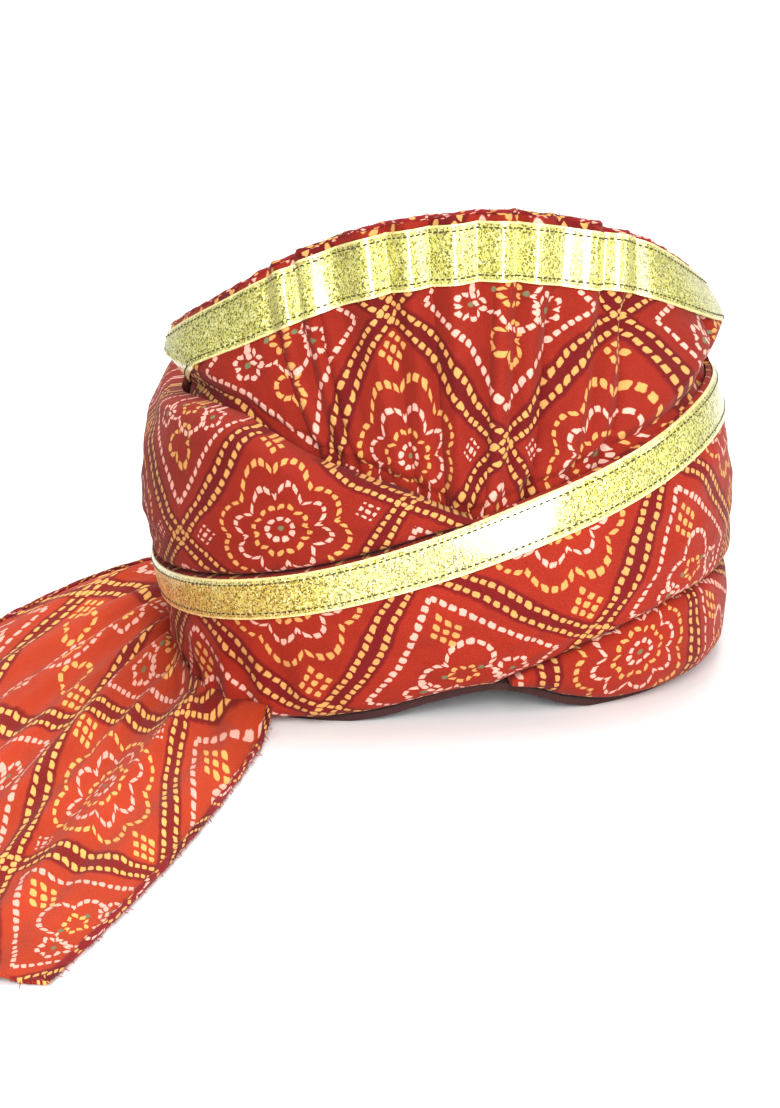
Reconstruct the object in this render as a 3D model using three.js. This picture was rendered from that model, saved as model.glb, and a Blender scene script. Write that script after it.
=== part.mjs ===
// A ready-tied pagri turban standing on its rim: wound turns of print cloth, a pleated front with a
// standing crest, two gold ribbons and a loose tail. Millimetres, +Z up. The front faces -Y, and the
// origin is the middle of the head opening, on the surface that the turban stands on.
import * as THREE from 'three';
import { mergeVertices } from 'three/addons/utils/BufferGeometryUtils.js';

// Driving sizes
const GAP = 0.4;                 // clearance between neighbouring pieces
const SEAM = 0.3;                // and on each side of a line where two turns meet
const TURN_THICKNESS = 9;        // a wound turn of folded cloth
const EDGE_ROUND = 5;            // radius of a turn's rolled edge
const BAND_ROUND = 1.5;          // and of the edge that the gold band holds firm
const RING_COLUMNS = 52;         // facets round each closed ring
const HEAD = { halfWidth: 80, halfDepth: 98, squareness: 2.2 };
const BODY = { halfWidth: 114.8, halfDepth: 130, squareness: 2.8 };
const CROWN = { wall: 2.5, shoulder: 78, apex: 138, domeAngles: [0, 20, 40, 60, 78, 90] };
const INNER_WRAP = { clear: 1.5, fanRoom: 7, roomFrom: 74, roomTo: 102, topRound: 12, domeRows: 3 };
const FAN = {
  thickness: 1.8,
  clear: 2.3,                    // behind the turns that it is tucked under
  edgeAboveRibbon: 3,
  belly: 5,
  lean: 1.2,                     // how fast it may come forward above the turn in front
  leanFrom: 3,
  ridges: 9,
  firstRidge: -29.7,
  pleatPitch: 8.6,
  pleatColumns: 6,
  pleatMiddle: 4,
  pleatedTo: 34,
  plainFrom: 44,
  crestFold: 2.4,
  tuckFold: 0.8,
};
const RIBBON = { thickness: 0.9, seat: 0.6, fanWidth: 20, bandWidth: 15.5 };
const UNDER_WRAP = { from: 10.5, to: 160 };
const LINING = { clear: 0.6, archThickness: 2.8, setBack: 3 };
const TAIL = {
  thickness: 1.5,
  lowest: 0.3,
  rootLift: 7,                   // it comes out of the lower turn's hem this high
  rootShare: 0.12,               // and is down on the surface after this share of its length
  rootClear: 0.8,
  foldsFrom: 0.15,
  endFold: 0.35,                 // share of a fold's height that is left at the end
};

// Turns are angles in degrees seen from above: 0 at the front, + to the right, 180 at the back.
// The body's outline at each height, as a share of its widest plan.
const PROFILE = [
  { at: 0, scale: 0.925 },
  { at: 20, scale: 0.96 },
  { at: 55, scale: 1.0 },
  { at: 85, scale: 0.985 },
  { at: 108, scale: 0.94 },
  { at: 125, scale: 0.87 },
];

// Height of the hem that arches up over the front, by turn.
const HEM = [
  { at: -180, z: 2.2 },
  { at: -60, z: 2.2 },
  { at: -24, z: 2.2 },
  { at: -12, z: 5 },
  { at: -3, z: 9.3 },
  { at: 8, z: 12.4 },
  { at: 14, z: 10.2 },
  { at: 20, z: 5.6 },
  { at: 28, z: 2.2 },
  { at: 60, z: 2.2 },
  { at: 180, z: 2.2 },
];

// Height of the line between the lower turn and what is above it: the top of the gold band.
const BAND_LINE = [
  { at: -180, z: 80 },
  { at: -135, z: 61 },
  { at: -90, z: 51 },
  { at: -65, z: 50 },
  { at: -40, z: 54 },
  { at: -20, z: 60.5 },
  { at: 0, z: 71.5 },
  { at: 20, z: 86 },
  { at: 45, z: 103 },
  { at: 65, z: 107.5 },
  { at: 90, z: 107 },
  { at: 135, z: 97 },
  { at: 180, z: 80 },
];

// Top edge of the left turn, from the right side round the back and the left to the V at the front.
const LEFT_TOP = [
  { at: -290, z: 112.5 },
  { at: -255, z: 115 },
  { at: -180, z: 117 },
  { at: -110, z: 118 },
  { at: -84, z: 115.5 },
  { at: -66, z: 111.5 },
  { at: -48, z: 113 },
  { at: -35, z: 111 },
  { at: -28, z: 105.5 },
  { at: -20, z: 97.5 },
  { at: -10, z: 89.5 },
  { at: -4, z: 84.5 },
  { at: 0.5, z: 78.5 },
];

// The crease over the roll at the lower right.
const CREASE = [
  { at: 8, z: 12.4 },
  { at: 13, z: 17.6 },
  { at: 23, z: 27 },
  { at: 37, z: 35.5 },
  { at: 49, z: 37 },
  { at: 60, z: 36.5 },
  { at: 100, z: 32 },
  { at: 140, z: 18 },
  { at: 168, z: 6 },
  { at: 176, z: 2.2 },
];

// Swellings and dents of the outer turns: where, how wide and tall, and how far out.
const SWELLS = [
  { name: 'front dent', turn: 8, width: 16, z: 8, tall: 18, out: -4 },
  { name: 'flare into the tail', turn: -33, width: 13, z: 0, tall: 16, out: 5 },
  { name: 'right roll', turn: 42, width: 34, z: 13, tall: 16, out: 5 },
  { name: 'left belly', turn: -60, width: 30, z: 85, tall: 22, out: 2 },
];

// The crest's ribbon edge (turn, height, distance from the middle) and the place at the V where
// each pleat of the fan is tucked in (lowTurn, low).
const CREST = [
  { at: -66, z: 132, radius: 105.5, lowTurn: -54, low: 97 },
  { at: -45.4, z: 146.5, radius: 101, lowTurn: -25, low: 84 },
  { at: -26.3, z: 161, radius: 98.5, lowTurn: -12, low: 72 },
  { at: -11, z: 169, radius: 100, lowTurn: -4, low: 66 },
  { at: 2.8, z: 172, radius: 102.5, lowTurn: 2, low: 64 },
  { at: 15.9, z: 172, radius: 106, lowTurn: 8, low: 65 },
  { at: 33, z: 165.5, radius: 110, lowTurn: 18, low: 72 },
  { at: 41, z: 162, radius: 111.5, lowTurn: 26, low: 78.5 },
  { at: 66, z: 141, radius: 117, lowTurn: 58, low: 97 },
];

// The tail's two long edges on the surface: root turn on the rim, the bend and the end corner.
const TAIL_EDGES = {
  near: { rootTurn: -28.5, bend: [-75, -206], end: [-107, -303] },
  far: { rootTurn: -143, bend: [-188, 178], end: [-262, -262] },
};

// Lengthwise folds of the tail: place across it (0 near, 1 far), width across and height.
const TAIL_FOLDS = [
  { across: 0.08, width: 0.05, tall: 4 },
  { across: 0.22, width: 0.06, tall: 6.5 },
  { across: 0.37, width: 0.05, tall: 4.5 },
  { across: 0.52, width: 0.07, tall: 7.5 },
  { across: 0.69, width: 0.06, tall: 5 },
  { across: 0.84, width: 0.07, tall: 6 },
];

// Helpers for tables and places
const radians = THREE.MathUtils.degToRad;
const mix = THREE.MathUtils.lerp;
const bell = (x) => Math.exp(-x * x);
const steps = (count) => Array.from({ length: count + 1 }, (_, i) => i / count);

/** Smooth curve through a table's rows: the value of one column at a place. */
function follow(table, at, column) {
  const last = table.length - 1;
  let i = 0;
  while (i < last - 1 && at > table[i + 1].at) i += 1;
  const slope = (a, b) => (table[b][column] - table[a][column]) / (table[b].at - table[a].at);
  const [from, to] = [table[i], table[i + 1]];
  const span = to.at - from.at;
  const t = THREE.MathUtils.clamp((at - from.at) / span, 0, 1);
  const leave = slope(Math.max(i - 1, 0), i + 1) * span;
  const arrive = slope(i, Math.min(i + 2, last)) * span;
  const rise = to[column] - from[column];
  const cubic = leave + arrive - 2 * rise;
  const square = 3 * rise - 2 * leave - arrive;
  return ((cubic * t + square) * t + leave) * t + from[column];
}

/** The same turn written between -180 and 180. */
const wrapped = (turn) => THREE.MathUtils.euclideanModulo(turn + 180, 360) - 180;

/** Distance from the middle to a rounded oval, in the direction of a turn. */
function ovalRadius(oval, turn) {
  const across = Math.abs(Math.sin(radians(turn))) / oval.halfWidth;
  const along = Math.abs(Math.cos(radians(turn))) / oval.halfDepth;
  const power = oval.squareness;
  return (across ** power + along ** power) ** (-1 / power);
}

/** A point from its turn, distance from the middle and height. */
function place(turn, radius, z) {
  return new THREE.Vector3(Math.sin(radians(turn)) * radius, -Math.cos(radians(turn)) * radius, z);
}

const bodyRadius = (turn, z) => ovalRadius(BODY, turn) * follow(PROFILE, z, 'scale');
const hem = (turn) => follow(HEM, wrapped(turn), 'z');
const bandLine = (turn) => follow(BAND_LINE, wrapped(turn), 'z');

/** Lower edge of the lower turn: the crease where the roll shows under it, and the hem elsewhere. */
function lowerHem(turn) {
  const at = wrapped(turn);
  const overRoll = at > CREASE[0].at && at < CREASE.at(-1).at;
  return overRoll ? Math.max(hem(turn), follow(CREASE, at, 'z')) : hem(turn);
}

/** How far the outer turns swell out or dent in at a place. */
function swell(turn, z) {
  return SWELLS.reduce((sum, s) => {
    const away = wrapped(turn - s.turn) / s.width;
    return sum + s.out * bell(away) * bell((z - s.z) / s.tall);
  }, 0);
}

/** How far a rolled edge falls back, at a distance from that edge. */
function rolled(distance, round) {
  const left = Math.max(0, round - distance);
  return round - Math.sqrt(round * round - left * left);
}

/** One closed body between an outer and an inner grid of points, both grid[column][row]. */
function shell(outer, inner, isRing) {
  const columns = outer.length;
  const rows = outer[0].length;
  const points = [...outer.flat(), ...inner.flat()];
  const outside = (c, r) => (c % columns) * rows + r;
  const inside = (c, r) => columns * rows + outside(c, r);
  const quads = [];
  const spans = isRing ? columns : columns - 1;
  for (let c = 0; c < spans; c += 1) {
    for (let r = 0; r < rows - 1; r += 1) {
      quads.push([outside(c, r), outside(c + 1, r), outside(c + 1, r + 1), outside(c, r + 1)]);
      quads.push([inside(c, r), inside(c, r + 1), inside(c + 1, r + 1), inside(c + 1, r)]);
    }
    quads.push([outside(c + 1, 0), outside(c, 0), inside(c, 0), inside(c + 1, 0)]);
    const top = rows - 1;
    quads.push([outside(c, top), outside(c + 1, top), inside(c + 1, top), inside(c, top)]);
  }
  for (let r = 0; r < rows - 1 && !isRing; r += 1) {
    const end = columns - 1;
    quads.push([outside(0, r), outside(0, r + 1), inside(0, r + 1), inside(0, r)]);
    quads.push([outside(end, r + 1), outside(end, r), inside(end, r), inside(end, r + 1)]);
  }
  return closedGeometry(points, quads);
}

/** Geometry of a closed body from points and four-sided faces, with its faces pointing out. */
function closedGeometry(points, quads) {
  const corners = quads.flatMap(([a, b, c, d]) => [[a, b, c], [a, c, d]]);
  const volume = corners.reduce((sum, [a, b, c]) => {
    const normal = new THREE.Vector3().crossVectors(points[b], points[c]);
    return sum + points[a].dot(normal);
  }, 0);
  const facing = volume > 0 ? corners : corners.map(([a, b, c]) => [a, c, b]);
  const raw = new THREE.BufferGeometry().setFromPoints(points);
  raw.setIndex(facing.flat());
  const merged = mergeVertices(raw, 1e-3);
  const index = merged.getIndex().array;
  const kept = [];
  for (let i = 0; i < index.length; i += 3) {
    const [a, b, c] = index.slice(i, i + 3);
    if (a !== b && b !== c && c !== a) kept.push(a, b, c);
  }
  merged.setIndex(kept);
  merged.computeVertexNormals();
  return merged;
}

/** Rows between two heights with more of them close to the rolled edges, as shares of the span. */
function edgeRows(span, inner) {
  const edge = Math.min(EDGE_ROUND / span, 1 / 3);
  const near = [0, 0.25 * edge, edge];
  const middle = steps(inner).slice(1, -1).map((t) => mix(edge, 1 - edge, t));
  return [...near, ...middle, ...near.map((t) => 1 - t).reverse()];
}

/** An outer turn of cloth between a lower and an upper line, over a range of turns. */
function wrapTurn({ turns, isRing, low, high, highRound, middleRows }) {
  const column = (turn, radiusAt) => {
    const [bottom, top] = [low(turn), high(turn)];
    return edgeRows(top - bottom, middleRows).map((share) => {
      const z = mix(bottom, top, share);
      return place(turn, radiusAt(z, z - bottom, top - z), z);
    });
  };
  const outer = turns.map((turn) => column(turn, (z, above, below) => (
    swollenRadius(turn, z) - rolled(above, EDGE_ROUND) - rolled(below, highRound)
  )));
  const inner = turns.map((turn) => column(turn, (z) => bodyRadius(turn, z) - TURN_THICKNESS));
  return shell(outer, inner, isRing);
}

const swollenRadius = (turn, z) => bodyRadius(turn, z) + swell(turn, z);
const ringTurns = (count) => steps(count).slice(0, -1).map((t) => mix(-180, 180, t));

// The pieces
function rimLining() {
  const column = (turn) => {
    const top = hem(turn) - LINING.clear;
    const bottom = Math.max(0, top - LINING.archThickness);
    const outer = bodyRadius(turn, 0) - LINING.setBack + Math.min(0, swell(turn, 0));
    const inner = ovalRadius(HEAD, turn);
    return {
      under: [place(turn, inner, bottom), place(turn, outer, bottom)],
      over: [place(turn, inner, top), place(turn, outer, top)],
    };
  };
  const columns = ringTurns(RING_COLUMNS).map(column);
  return shell(columns.map((c) => c.over), columns.map((c) => c.under), true);
}

/** Rows of the crown's upright band, from the hem to the shoulder, moved out by a distance. */
function bandColumn(turn, out) {
  const radius = ovalRadius(HEAD, turn) + out;
  return [place(turn, radius, hem(turn)), place(turn, radius, CROWN.shoulder - SEAM)];
}

/** Rows of the crown's cap over the dome, moved out by a distance. */
function domeColumn(turn, out) {
  const radius = ovalRadius(HEAD, turn) + out;
  const start = CROWN.shoulder + SEAM;
  const rise = CROWN.apex - CROWN.wall + out - start;
  return CROWN.domeAngles.map((angle) => {
    const reach = angle < 90 ? radius * Math.cos(radians(angle)) : 0;
    return place(turn, reach, start + rise * Math.sin(radians(angle)));
  });
}

/** A layer of the crown's cloth, from the rows of its columns. */
function crownLayer(columnRows) {
  const face = (out) => ringTurns(RING_COLUMNS).map((turn) => columnRows(turn, out));
  return shell(face(CROWN.wall), face(0), true);
}

/** Room left for the fan between the inner wrap and the outer turns. */
function fanRoom(turn) {
  const { roomFrom, roomTo } = INNER_WRAP;
  const beside = THREE.MathUtils.smoothstep(Math.abs(wrapped(turn)), roomFrom, roomTo);
  return INNER_WRAP.fanRoom * (1 - beside);
}

/** A wound inner turn between rows of the crown and the outer turns, with its top rounded. */
function innerTurn(columnRows, topRound) {
  const crownSide = (turn) => columnRows(turn, CROWN.wall + GAP);
  const outside = (turn) => crownSide(turn).map(({ z }, row, rows) => {
    const radius = bodyRadius(turn, z) - TURN_THICKNESS - INNER_WRAP.clear - fanRoom(turn);
    return place(turn, radius - rolled(rows.at(-1).z - z, topRound), z);
  });
  const turns = ringTurns(RING_COLUMNS);
  return shell(turns.map(outside), turns.map(crownSide), true);
}

function upperInnerTurn() {
  const lowerDome = (turn, out) => domeColumn(turn, out).slice(0, INNER_WRAP.domeRows);
  return innerTurn(lowerDome, INNER_WRAP.topRound);
}

function lowerWrap() {
  return wrapTurn({
    turns: ringTurns(RING_COLUMNS),
    isRing: true,
    low: (turn) => lowerHem(turn) + (lowerHem(turn) > hem(turn) ? SEAM : 0),
    high: (turn) => bandLine(turn) - SEAM,
    highRound: BAND_ROUND,
    middleRows: 3,
  });
}

function underWrap() {
  return wrapTurn({
    turns: steps(26).map((t) => mix(UNDER_WRAP.from, UNDER_WRAP.to, t)),
    isRing: false,
    low: (turn) => hem(turn) + SEAM,
    high: (turn) => lowerHem(turn) - SEAM,
    highRound: EDGE_ROUND,
    middleRows: 2,
  });
}

function leftWrap() {
  return wrapTurn({
    turns: steps(50).map((t) => mix(LEFT_TOP[0].at, LEFT_TOP.at(-1).at, t)),
    isRing: false,
    low: (turn) => bandLine(turn) + SEAM,
    high: (turn) => follow(LEFT_TOP, turn, 'z'),
    highRound: EDGE_ROUND,
    middleRows: 2,
  });
}

/** Lowest height at which the fan shows, over the turn of cloth in front of it. */
function coverHeight(turn) {
  const lastLeft = LEFT_TOP.at(-1).at;
  return turn < lastLeft ? follow(LEFT_TOP, turn, 'z') : bandLine(turn);
}

/** Point in the middle of the fan's cloth: a crest turn, and a share of the way down to the tuck. */
function fanPoint(crestTurn, down) {
  const crest = (column) => follow(CREST, crestTurn, column);
  const turn = mix(crestTurn, crest('lowTurn'), down);
  const z = mix(crest('z') + FAN.edgeAboveRibbon, crest('low'), down);
  const behind = TURN_THICKNESS + FAN.clear + FAN.thickness / 2;
  const tuck = bodyRadius(turn, z) - behind;
  const lowRadius = bodyRadius(crest('lowTurn'), crest('low')) - behind;
  const belly = FAN.belly * Math.sin(Math.PI * down);
  const free = mix(crest('radius'), lowRadius, down) + belly;
  const room = tuck + FAN.lean * Math.max(0, z - coverHeight(turn) - FAN.leanFrom);
  const fromMiddle = Math.abs(crestTurn - FAN.pleatMiddle);
  const fade = 1 - THREE.MathUtils.smoothstep(fromMiddle, FAN.pleatedTo, FAN.plainFrom);
  const ridge = Math.cos((2 * Math.PI * (crestTurn - FAN.firstRidge)) / FAN.pleatPitch);
  const height = mix(FAN.crestFold, FAN.tuckFold, down) * fade;
  return place(turn, Math.min(free, room - height) + height * ridge, z);
}

/** The fan's cloth moved out along its own face by a distance. */
function fanFace(crestTurn, down, out) {
  const small = { turn: 0.2, down: 0.004 };
  const across = fanPoint(crestTurn + small.turn, down).sub(fanPoint(crestTurn - small.turn, down));
  const along = fanPoint(crestTurn, down + small.down).sub(fanPoint(crestTurn, down - small.down));
  const normal = along.cross(across).normalize();
  const point = fanPoint(crestTurn, down);
  const outward = normal.x * point.x + normal.y * point.y > 0 ? 1 : -1;
  return point.addScaledVector(normal, out * outward);
}

/** Turns of the fan's columns: close over the pleats, and a few over each plain end. */
function fanColumns() {
  const [start, end] = [CREST[0].at, CREST.at(-1).at];
  const firstPleat = FAN.firstRidge - FAN.pleatPitch;
  const pleats = FAN.ridges + 1;
  const pleated = steps(FAN.pleatColumns * pleats).map((t) => firstPleat + t * pleats * FAN.pleatPitch);
  const plain = (from, to) => steps(3).slice(0, -1).map((t) => mix(from, to, t));
  return [...plain(start, firstPleat), ...pleated, ...plain(end, pleated.at(-1)).reverse()];
}

const fanTurns = fanColumns();

/** Share of the way down the fan for a distance below its top edge. */
function fanShare(crestTurn, below) {
  return below / fanPoint(crestTurn, 0).distanceTo(fanPoint(crestTurn, 1));
}

/** Rows down the ribbon, as distances below the fan's top edge. */
const ribbonRows = steps(2).map((t) => FAN.edgeAboveRibbon + t * RIBBON.fanWidth);

function fan() {
  const face = (out) => fanTurns.map((turn) => {
    const ribbon = ribbonRows.map((below) => fanShare(turn, below));
    const rest = steps(4).slice(1).map((t) => mix(ribbon.at(-1), 1, t));
    return [0, ...ribbon, ...rest].map((down) => fanFace(turn, down, out));
  });
  return shell(face(FAN.thickness / 2), face(-FAN.thickness / 2), false);
}

function fanRibbon() {
  const seat = FAN.thickness / 2 + GAP;
  const face = (out) => fanTurns.map((turn) => (
    ribbonRows.map((below) => fanFace(turn, fanShare(turn, below), out))
  ));
  return shell(face(seat + RIBBON.thickness), face(seat), false);
}

function bandRibbon() {
  const column = (turn, out) => {
    const ahead = 2;   // degrees each way, to measure the band's slope
    const rise = bandLine(turn + ahead) - bandLine(turn - ahead);
    const run = 2 * radians(ahead) * bodyRadius(turn, bandLine(turn));
    const tall = RIBBON.bandWidth * Math.hypot(1, rise / run);
    return steps(3).map((t) => {
      const below = mix(GAP, tall, t);
      const z = bandLine(turn) - below;
      const seat = swollenRadius(turn, z) - rolled(below, BAND_ROUND);
      return place(turn, seat + out, z);
    });
  };
  const turns = ringTurns(RING_COLUMNS);
  const face = (out) => turns.map((turn) => column(turn, out));
  return shell(face(RIBBON.seat + RIBBON.thickness), face(RIBBON.seat), true);
}

/** Point on the surface under the tail: a share across from the near edge, and a share along it. */
function tailPlan(across, along) {
  const { near, far } = TAIL_EDGES;
  const rootTurn = mix(near.rootTurn, far.rootTurn, across);
  const root = place(rootTurn, swollenRadius(rootTurn, TAIL.rootLift) + TAIL.rootClear, 0);
  const blend = (key) => new THREE.Vector3(
    mix(near[key][0], far[key][0], across),
    mix(near[key][1], far[key][1], across),
    0,
  );
  return new THREE.QuadraticBezierCurve3(root, blend('bend'), blend('end')).getPoint(along);
}

function tail() {
  const across = steps(27);
  const along = steps(12);
  const height = (a, l) => {
    const folds = TAIL_FOLDS.reduce((sum, f) => sum + f.tall * bell((a - f.across) / f.width), 0);
    const grow = THREE.MathUtils.smoothstep(l, 0, TAIL.foldsFrom) * mix(1, TAIL.endFold, l);
    const rootLift = TAIL.rootLift * (1 - THREE.MathUtils.smoothstep(l, 0, TAIL.rootShare));
    return folds * grow + rootLift;
  };
  const face = (lift) => across.map((a) => along.map((l) => {
    const point = tailPlan(a, l);
    point.z = TAIL.lowest + height(a, l) + lift;
    return point;
  }));
  return shell(face(TAIL.thickness), face(0), false);
}

// Finishes and the assembly
const cloth = { color: 0xc8332c, roughness: 0.85, metalness: 0 };
const tailCloth = { color: 0xcc5633, roughness: 0.85, metalness: 0 };
const gold = { color: 0xd8cc6a, roughness: 0.35, metalness: 0.7 };
const darkCloth = { color: 0x492929, roughness: 0.9, metalness: 0 };

const pieces = [
  { name: 'rim_lining', make: rimLining, finish: darkCloth },
  { name: 'crown_band', make: () => crownLayer(bandColumn), finish: cloth },
  { name: 'crown', make: () => crownLayer(domeColumn), finish: cloth },
  { name: 'inner_wrap', make: () => innerTurn(bandColumn, 0), finish: cloth },
  { name: 'inner_wrap_top', make: upperInnerTurn, finish: cloth },
  { name: 'fan', make: fan, finish: cloth },
  { name: 'fan_ribbon', make: fanRibbon, finish: gold },
  { name: 'left_wrap', make: leftWrap, finish: cloth },
  { name: 'lower_wrap', make: lowerWrap, finish: cloth },
  { name: 'band_ribbon', make: bandRibbon, finish: gold },
  { name: 'under_wrap', make: underWrap, finish: cloth },
  { name: 'tail', make: tail, finish: tailCloth },
];

const turban = new THREE.Group();
for (const { name, make, finish } of pieces) {
  const mesh = new THREE.Mesh(make(), new THREE.MeshStandardMaterial(finish));
  mesh.name = name;
  turban.add(mesh);
}

export default turban;
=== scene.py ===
"""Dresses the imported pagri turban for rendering.

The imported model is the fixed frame. Each piece of cloth, both gold ribbons and the lining are built
again here from the solids' own sizes, with their folds, pleats, stitches and loose threads, and get
procedural finishes. Sizes are in millimetres, and a mesh is turned into metres when it is made.
"""

from __future__ import annotations

import logging
import math
from dataclasses import KW_ONLY, dataclass
from enum import Enum
from functools import reduce
from typing import ClassVar

import bmesh
import bpy
import numpy as np
from mathutils import Matrix, Vector

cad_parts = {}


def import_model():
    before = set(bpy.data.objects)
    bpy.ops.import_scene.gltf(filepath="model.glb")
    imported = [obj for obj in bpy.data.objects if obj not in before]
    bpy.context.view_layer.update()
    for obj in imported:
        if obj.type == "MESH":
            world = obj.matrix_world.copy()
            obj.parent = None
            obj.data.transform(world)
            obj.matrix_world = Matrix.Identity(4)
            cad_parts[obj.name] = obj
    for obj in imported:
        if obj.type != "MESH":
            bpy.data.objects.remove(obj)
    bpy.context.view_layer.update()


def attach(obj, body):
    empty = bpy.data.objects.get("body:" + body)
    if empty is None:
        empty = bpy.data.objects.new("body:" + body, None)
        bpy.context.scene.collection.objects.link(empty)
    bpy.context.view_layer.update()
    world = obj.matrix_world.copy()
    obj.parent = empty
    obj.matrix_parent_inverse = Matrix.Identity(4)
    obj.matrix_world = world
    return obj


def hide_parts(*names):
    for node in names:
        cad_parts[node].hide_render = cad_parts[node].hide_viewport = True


Array = np.ndarray
Colour = tuple[float, float, float, float]
Pair = tuple[float, float]
Spot = tuple[float, float, float]
Numbers = tuple[float, ...]
Names = tuple[str, ...]
Socket = bpy.types.NodeSocket
Tree = bpy.types.NodeTree
Node = bpy.types.Node
Object = bpy.types.Object
Material = bpy.types.Material
LOG = logging.getLogger("pagri")
MM = 0.001
CLOTH_MAP = "cloth"
SHARP_EDGE = math.radians(62)
SAME_POINT = 1e-7


class Slot(Enum):
    """The record's material slots."""

    PRINT = "print_cloth"
    GOLD = "gold_ribbon"
    LINING = "lining_cloth"


class Held(Enum):
    """How a sheet of cloth is held."""

    GATHERED = "gathered"
    LAID = "laid"
    FOLDED = "folded"
    STRETCHED = "stretched"


# Curves, noise and the turban's driving sizes


@dataclass(frozen=True)
class Curve:
    """A smooth curve through a short table of places and values.

    Attributes:
        at: the places, rising.
        value: the value at each place.
    """

    at: Numbers
    value: Numbers

    def __call__(self, place: Array | float) -> Array:
        """Value at one or many places, level beyond both ends.

        Args:
            place: where to read the curve.

        Returns:
            The values, in the shape of place.
        """
        at, value = np.array(self.at), np.array(self.value)
        slope = np.empty(len(at))
        slope[1:-1] = (value[2:] - value[:-2]) / (at[2:] - at[:-2])
        slope[0] = (value[1] - value[0]) / (at[1] - at[0])
        slope[-1] = (value[-1] - value[-2]) / (at[-1] - at[-2])
        place = np.clip(place, at[0], at[-1])
        i = np.clip(np.searchsorted(at, place) - 1, 0, len(at) - 2)
        span = at[i + 1] - at[i]
        t = (place - at[i]) / span
        leave, arrive = slope[i] * span, slope[i + 1] * span
        rise = value[i + 1] - value[i]
        cubic = leave + arrive - 2 * rise
        square = 3 * rise - 2 * leave - arrive
        return ((cubic * t + square) * t + leave) * t + value[i]


@dataclass(frozen=True)
class Creases:
    """Smooth seeded noise over a plane, about -1 to 1, for folds and creases in cloth.

    Attributes:
        seed: fixes the noise.
        period: whole steps after which it repeats in its first direction.
        rows: whole steps after which it repeats in the other one.
        full: brings the noise to about -1 to 1.
        blunt: rounds the ridges.
    """

    seed: int
    period: int = 64

    rows: ClassVar[int] = 64
    full: ClassVar[float] = 1.5
    blunt: ClassVar[float] = 0.008

    def __call__(self, x: Array, y: Array) -> Array:
        """Noise at places given in steps of the noise.

        Args:
            x, y: the places.

        Returns:
            The noise.
        """
        steps = (self.period, self.rows)
        angle = np.random.default_rng(self.seed).uniform(0, 2 * np.pi, steps)
        x, y = np.broadcast_arrays(x, y)
        left, low = np.floor(x).astype(int), np.floor(y).astype(int)
        dx, dy = x - left, y - low

        def corner(step_x: int, step_y: int) -> Array:
            """Pull of one corner of the noise's square."""
            turn = angle[(left + step_x) % self.period, (low + step_y) % self.rows]
            return np.cos(turn) * (dx - step_x) + np.sin(turn) * (dy - step_y)

        ease_x, ease_y = smooth(dx), smooth(dy)
        bottom = corner(0, 0) * (1 - ease_x) + corner(1, 0) * ease_x
        top = corner(0, 1) * (1 - ease_x) + corner(1, 1) * ease_x
        return self.full * (bottom * (1 - ease_y) + top * ease_y)

    def ridged(self, x: Array, y: Array) -> Array:
        """Noise with sharp ridges, as where cloth is pulled into folds."""
        return 1 - 2 * np.sqrt(self(x, y) ** 2 + self.blunt)


def smooth(x: Array, start: float = 0.0, end: float = 1.0) -> Array:
    """Smooth step from 0 at start to 1 at end, which may be the lower one."""
    t = np.clip((x - start) / (end - start), 0, 1)
    return t * t * (3 - 2 * t)


def bell(x: Array) -> Array:
    """Bell curve of height 1 and half width about 1."""
    return np.exp(-x * x)


def mix(a: Array | float, b: Array | float, share: Array | float) -> Array | float:
    """Blend from a to b."""
    return a + (b - a) * share


def wrapped(turn: Array) -> Array:
    """The same turn written between -180 and 180."""
    return (turn + 180) % 360 - 180


def full_turn(columns: int) -> Array:
    """Turns of a ring's columns, with the first one again at the end."""
    return np.linspace(-180, 180, columns + 1)


def way_round(turn: Array) -> Array:
    """Share of the way round from the back, over the left and the front."""
    return (turn + 180) / 360


def place(turn: Array, radius: Array, z: Array) -> Array:
    """Points from turns in degrees, distances from the middle and heights.

    Args:
        turn, radius, z: numbers or arrays that fit one another.

    Returns:
        The points.
    """
    turn, radius, z = np.broadcast_arrays(turn, radius, z)
    angle = np.radians(turn)
    return np.stack([np.sin(angle) * radius, -np.cos(angle) * radius, z], axis=-1)


def flat_places(along: Array, across: Array) -> Array:
    """Places on the flat cloth, from arrays that fit one another."""
    return np.stack(np.broadcast_arrays(along, across), axis=-1)


def run_length(points: Array) -> Array:
    """Length along a line of points, from its first one."""
    steps = np.linalg.norm(np.diff(points, axis=0), axis=1)
    return np.concatenate([[0.0], np.cumsum(steps)])


@dataclass(frozen=True)
class Oval:
    """A rounded oval in plan."""

    half_width: float
    half_depth: float
    squareness: float

    def radius(self, turn: Array) -> Array:
        """Distance from the middle to the oval at a turn.

        Args:
            turn: one or many turns.

        Returns:
            The distances.
        """
        across = np.abs(np.sin(np.radians(turn))) / self.half_width
        along = np.abs(np.cos(np.radians(turn))) / self.half_depth
        return (across**self.squareness + along**self.squareness) ** (-1 / self.squareness)


@dataclass(frozen=True)
class Swell:
    """A swelling or dent of the outer turns: where, how wide and tall, and how far out."""

    turn: float
    width: float
    z: float
    tall: float
    out: float

    def at(self, turn: Array, z: Array) -> Array:
        """How far out it pushes the cloth at a place."""
        away = wrapped(turn - self.turn) / self.width
        return self.out * bell(away) * bell((z - self.z) / self.tall)


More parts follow.
